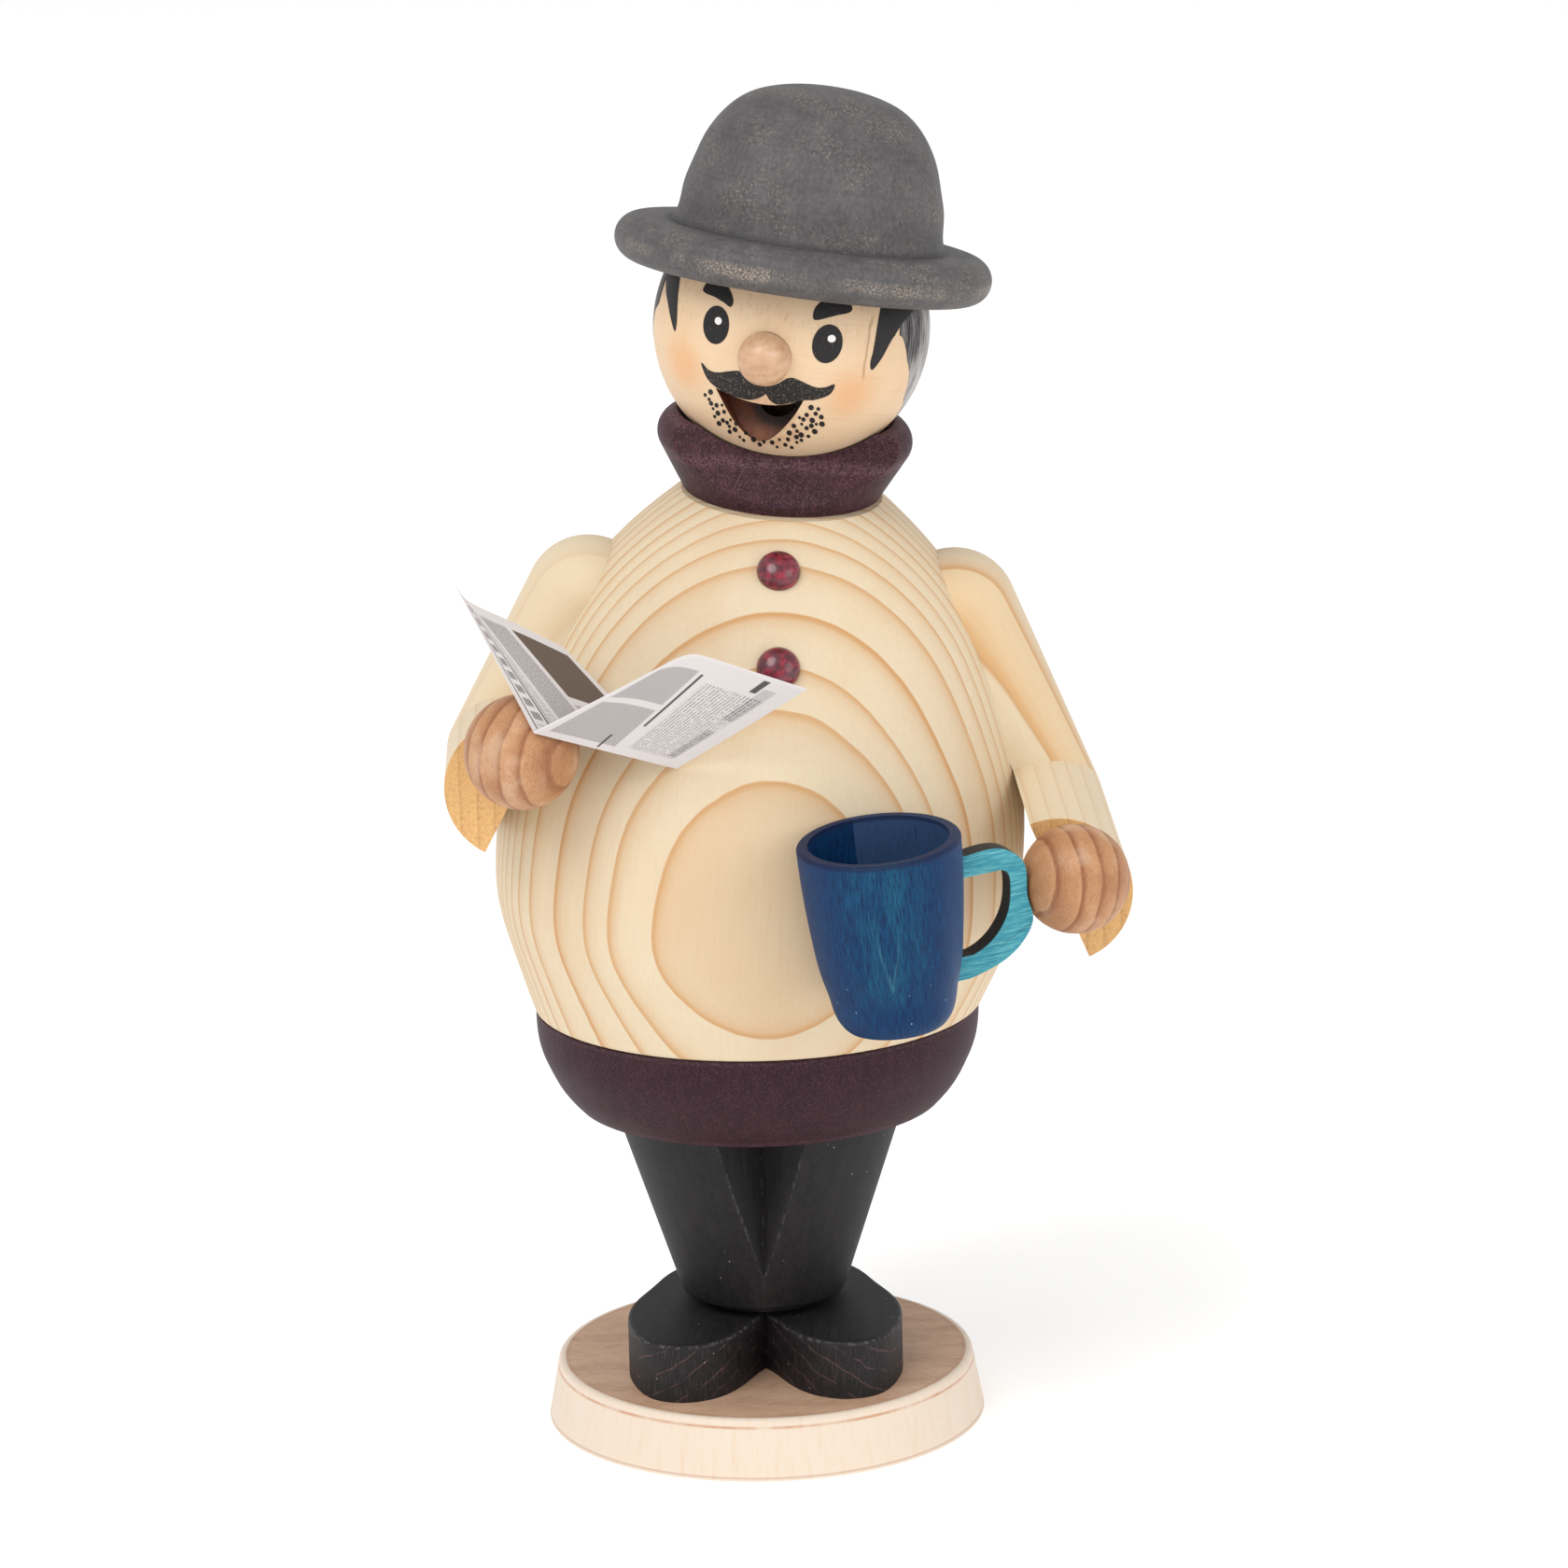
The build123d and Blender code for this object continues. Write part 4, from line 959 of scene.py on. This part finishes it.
class SMOKER_OT_arms(bpy.types.Operator):
    """Finish the half-round arms and the beech hands"""

    bl_idname = "smoker.arms"
    bl_label = "Arms and Hands"

    # Ring depths of each half of an arm, with the shade of its rings
    upper_rings = (-2.6, -7.3)
    upper_tilt = -4.8
    upper_shade = {"right": 0.25, "left": 1.0}
    forearm_rings = (7.9, 5.6, 3.4, 1.2)
    forearm_reach = {"right": 24.0, "left": 26.0}
    # The far centre of a hand's rings, their pitch and the seed of its grain
    hand_rings = {"right": ((-26.0, 14.0, -0.1), 2.6, 3.0), "left": ((28.0, 10.0, 0.12), 2.7, 9.0)}

    def execute(self, context):
        for side in sides:
            sign = 1 if side == "left" else -1
            upper = elbow[side] @ turned("Y", -arm_spread[side])
            banded = upper @ turned("Z", 180) @ turned("X", self.upper_tilt)
            shade = self.upper_shade[side]
            pine = pine_finish(
                f"pine_{side}_upper_arm", banded, self.upper_rings, 8.0, 11.0 + sign, strong=shade,
                band=self.upper_rings[::-1]
            )
            dress(pine, f"{side}_upper_arm")
            up = upper.to_3x3() @ Vector((0, 0, 1))
            fall = math.radians(droop[side])
            forward = Vector((0, -1, 0)) * math.cos(fall) - up * math.sin(fall)
            along = axes(upper.to_translation(), forward, (0, 0, 1))
            end = self.forearm_reach[side]
            pine = pine_finish(f"pine_{side}_forearm", along, self.forearm_rings, 2.2, 21.0 + sign, end, 0.4)
            dress(pine, f"{side}_forearm")
        for side in sides:
            middle = Matrix.Translation(ball_middle[side])
            dress(beech_finish(f"beech_{side}_hand", middle, *self.hand_rings[side]), f"{side}_hand")
        return {"FINISHED"}


class SMOKER_OT_head(bpy.types.Operator):
    """Finish the head, the nose and the hat"""

    bl_idname = "smoker.head"
    bl_label = "Head and Hat"

    def execute(self, context):
        dress(maple_finish(), "head")
        dress(nose_finish(), "nose")
        dress(hat_finish("grey_brim", brim_frame, 5.0, (25.15, 3.02)), "hat_brim")
        dress(hat_finish("grey_crown", crown_frame, 8.0), "hat_crown")
        return {"FINISHED"}


class SMOKER_OT_mug(bpy.types.Operator):
    """Finish the mug and its sawn handle"""

    bl_idname = "smoker.mug"
    bl_label = "Mug"

    def execute(self, context):
        dress(mug_finish(), "mug")
        dress(handle_finish(), "mug_handle")
        return {"FINISHED"}


# The newspaper: two leaves that meet in a fold, which runs from the hand to the coat.
# The outer edges are ways from the fold's start, with a leaf's side as 1
paper_start = Vector((-27.75, -38.19, 105.83))
paper_foot = Vector((-9.74, -31.25, 98.96))
back_edge = [(-0.42, 0.58, 0.69), (-0.34, 0.53, 0.60), (-0.1, 0.6, 0.46), (0.15, 0.667, 0.308)]
front_edge = [
    (0.755, -0.223, 0.4255), (0.846, -0.240, 0.457), (0.946, -0.236, 0.438), (1.2, -0.2017, 0.339),
    (1.454, -0.167, 0.24),
]


def along_points(points, share):
    """The point at a share of the way along a smooth curve through points."""
    spans = len(points) - 1
    place = min(share * spans, spans - 1e-6)
    index = int(place)
    four = [Vector(points[max(0, min(index + k, spans))]) for k in (-1, 0, 1, 2)]
    return smooth_point(*four, place - index)


def block(u, v, left, right, low, high, soft=0.006):
    """1 inside a printed rectangle of a leaf."""
    return u.band(left, right, soft) * v.band(low, high, soft)


def print_finish(name, front):
    """Plain printed bars and speckle in columns, with white margins and no letters."""
    f = Finish(name)
    hues = f.hues
    u, v = f.split(Wire(f, f.source.outputs["UV"]))[:2]
    sheet = f.join(u * 24, v * 24, 0)
    speckle = f.noise((0.16, 0.16, 1), 2, 2, 0.8, sheet).rise(0.42, 0.56)
    blurred = f.noise((0.5, 0.5, 1), 3, 5, 0.7, sheet)
    rows = u * 56
    words = f.noise((2.5, 0.35, 1), 2, 3, 0.8, f.join(rows, v * 24, 0)).rise(0.38, 0.5)
    row_bars = (rows % 1).band(0.2, 0.7, 0.12) * words
    if front:
        text = block(u, v, 0.05, 0.52, 0.06, 0.46) + block(u, v, 0.05, 0.52, 0.52, 0.88)
        lines = block(u, v, 0.6, 0.9, 0.08, 0.8)
        rules = block(u, v, 0.545, 0.56, 0.3, 0.86, 0.003) + block(u, v, 0.42, 0.435, 0.02, 0.16, 0.003)
        rules = rules + block(u, v, 0.8, 0.83, 0.84, 0.97, 0.004)
        boxes = block(u, v, 0.85, 0.9, 0.1, 0.42) + block(u, v, 0.84, 0.9, 0.55, 0.9)
        weight = 0.12
        dark = 0
    else:
        text = block(u, v, 0.3, 0.52, 0.05, 0.9) + block(u, v, 0.55, 0.93, 0.05, 0.34)
        lines = block(u, v, 0.2, 0.27, 0.04, 0.92)
        rules = block(u, v, 0.035, 0.045, 0.03, 0.95, 0.003) + block(u, v, 0.155, 0.17, 0.03, 0.95, 0.003)
        rules = rules + block(u, v, 0.185, 0.192, 0.03, 0.95, 0.002)
        bars = ((v * 11) % 1).band(0.12, 0.72, 0.04)
        boxes = block(u, v, 0.065, 0.135, 0.06, 0.9) * bars
        weight = 0.45
        dark = block(u, v, 0.56, 0.93, 0.4, 0.9)
    ink = text * (speckle * 0.5 + 0.14) + lines * row_bars * 0.5
    ink = (ink + boxes * (speckle * 0.3 + weight)).least(0.85)
    f.body = f.mix(blurred.rise(0.3, 0.8) * 0.12, hues.paper, tone(190, 184, 182))
    f.tint(ink, hues.paper_ink)
    f.tint(dark * 0.95, hues.paper_block)
    f.tint(rules.least(1) * 0.9, tone(36, 34, 36))
    return f.done(0.62, blurred * 0.01, gloss=0.3)


class SMOKER_OT_newspaper(bpy.types.Operator):
    """Fold the newspaper and print plain columns on it"""

    bl_idname = "smoker.newspaper"
    bl_label = "Newspaper"

    def execute(self, context):
        sizes = context.scene.smoker_sizes
        side = sizes.paper_side / MM
        leaves = (("back", back_edge, False), ("front", front_edge, True))
        for name, edge, front in leaves:
            bm = bmesh.new()
            uv_layer = bm.loops.layers.uv.new("UVMap")
            bmesh.ops.create_grid(bm, x_segments=40, y_segments=40, size=0.5)
            shares = {}
            for vert in bm.verts:
                u, v = vert.co.x + 0.5, vert.co.y + 0.5
                shares[vert] = (u, v)
                low = paper_start.lerp(paper_foot, u)
                high = paper_start + along_points(edge, u) * side
                bow = math.sin(math.pi * v) * 0.35
                vert.co = low.lerp(high, v) + Vector((0, -bow if front else bow, 0))
            for face in bm.faces:
                for loop in face.loops:
                    loop[uv_layer].uv = shares[loop.vert]
            bmesh.ops.solidify(bm, geom=bm.faces[:], thickness=sizes.paper_sheet / MM)
            printed = print_finish(f"newsprint_{name}", front)
            leaf = piece(f"newspaper_{name}_leaf", bm, Matrix.Identity(4), printed, "figure")
            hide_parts("newspaper")
        return {"FINISHED"}


class SMOKER_OT_stage(bpy.types.Operator):
    """Set the pale floor, the soft lights and the camera"""

    bl_idname = "smoker.stage"
    bl_label = "Stage"

    floor_radius = 6
    white = (1, 1, 1, 1)

    def add_light(self, name, place, target, size, power):
        data = bpy.data.lights.new(name, "AREA")
        data.shape = "DISK"
        data.size = size
        data.energy = power
        lamp = bpy.data.objects.new(name, data)
        lamp.location = place
        aim = Vector(target) - Vector(place)
        lamp.rotation_euler = aim.to_track_quat("-Z", "Y").to_euler()
        bpy.context.scene.collection.objects.link(lamp)

    def execute(self, context):
        stage = context.scene.smoker_stage
        bm = bmesh.new()
        bmesh.ops.create_circle(bm, cap_ends=True, segments=96, radius=self.floor_radius)
        mesh = bpy.data.meshes.new("floor")
        bm.to_mesh(mesh)
        bm.free()
        floor = bpy.data.objects.new("floor", mesh)
        context.scene.collection.objects.link(floor)
        f = Finish("floor_paper")
        tooth = f.noise((6, 6, 6), 2, 1)
        f.body = f.mix(tooth * 0.02, stage.floor_colour, tone(240, 240, 240))
        glow = {"emission_color": self.white, "emission_strength": stage.floor_glow}
        mesh.materials.append(f.done(0.9, gloss=0.1, **glow))

        middle = (0, 0, 0.09)
        self.add_light("key_light", (-0.6, -0.85, 1.3), middle, 1.0, stage.key_power)
        self.add_light("fill_light", (0.95, -0.8, 0.55), middle, 0.9, stage.fill_power)
        world = bpy.data.worlds.new("white_room")
        world.use_nodes = True
        background = world.node_tree.nodes["Background"]
        background.inputs["Color"].default_value = self.white
        background.inputs["Strength"].default_value = stage.sky
        context.scene.world = world
        context.scene.view_settings.view_transform = "Standard"

        data = bpy.data.cameras.new("camera")
        data.lens = stage.lens
        data.sensor_width = 36
        data.shift_x = stage.camera_shift
        data.clip_end = 20
        camera = bpy.data.objects.new("camera", data)
        look = Matrix.Rotation(math.pi / 2 - stage.camera_pitch, 4, "X")
        look = look @ Matrix.Rotation(stage.camera_roll, 4, "Z")
        camera.matrix_world = Matrix.Translation((0, -stage.camera_back, stage.camera_height)) @ look
        context.scene.collection.objects.link(camera)
        context.scene.camera = camera
        return {"FINISHED"}


class SMOKER_PT_panel(bpy.types.Panel):
    """Lists the steps that finish the smoker"""

    bl_label = "Incense Smoker"
    bl_space_type = "VIEW_3D"
    bl_region_type = "UI"
    bl_category = "Smoker"

    def draw(self, context):
        for step in steps:
            self.layout.operator(step.bl_idname)


steps = (
    SMOKER_OT_stage, SMOKER_OT_stand, SMOKER_OT_inside, SMOKER_OT_coat, SMOKER_OT_arms, SMOKER_OT_head,
    SMOKER_OT_face, SMOKER_OT_hair, SMOKER_OT_mug, SMOKER_OT_newspaper,
)
groups = {"smoker_colours": SmokerColours, "smoker_sizes": SmokerSizes, "smoker_stage": SmokerStage}


def register():
    for group in groups.values():
        bpy.utils.register_class(group)
    for name, group in groups.items():
        setattr(bpy.types.Scene, name, PointerProperty(type=group))
    for item in (*steps, SMOKER_PT_panel):
        bpy.utils.register_class(item)


def unregister():
    for item in (SMOKER_PT_panel, *reversed(steps)):
        bpy.utils.unregister_class(item)
    for name, group in groups.items():
        delattr(bpy.types.Scene, name)
        bpy.utils.unregister_class(group)


def main():
    register()
    for step in steps:
        section, name = step.bl_idname.split(".")
        getattr(getattr(bpy.ops, section), name)()


if __name__ == "__main__":
    main()
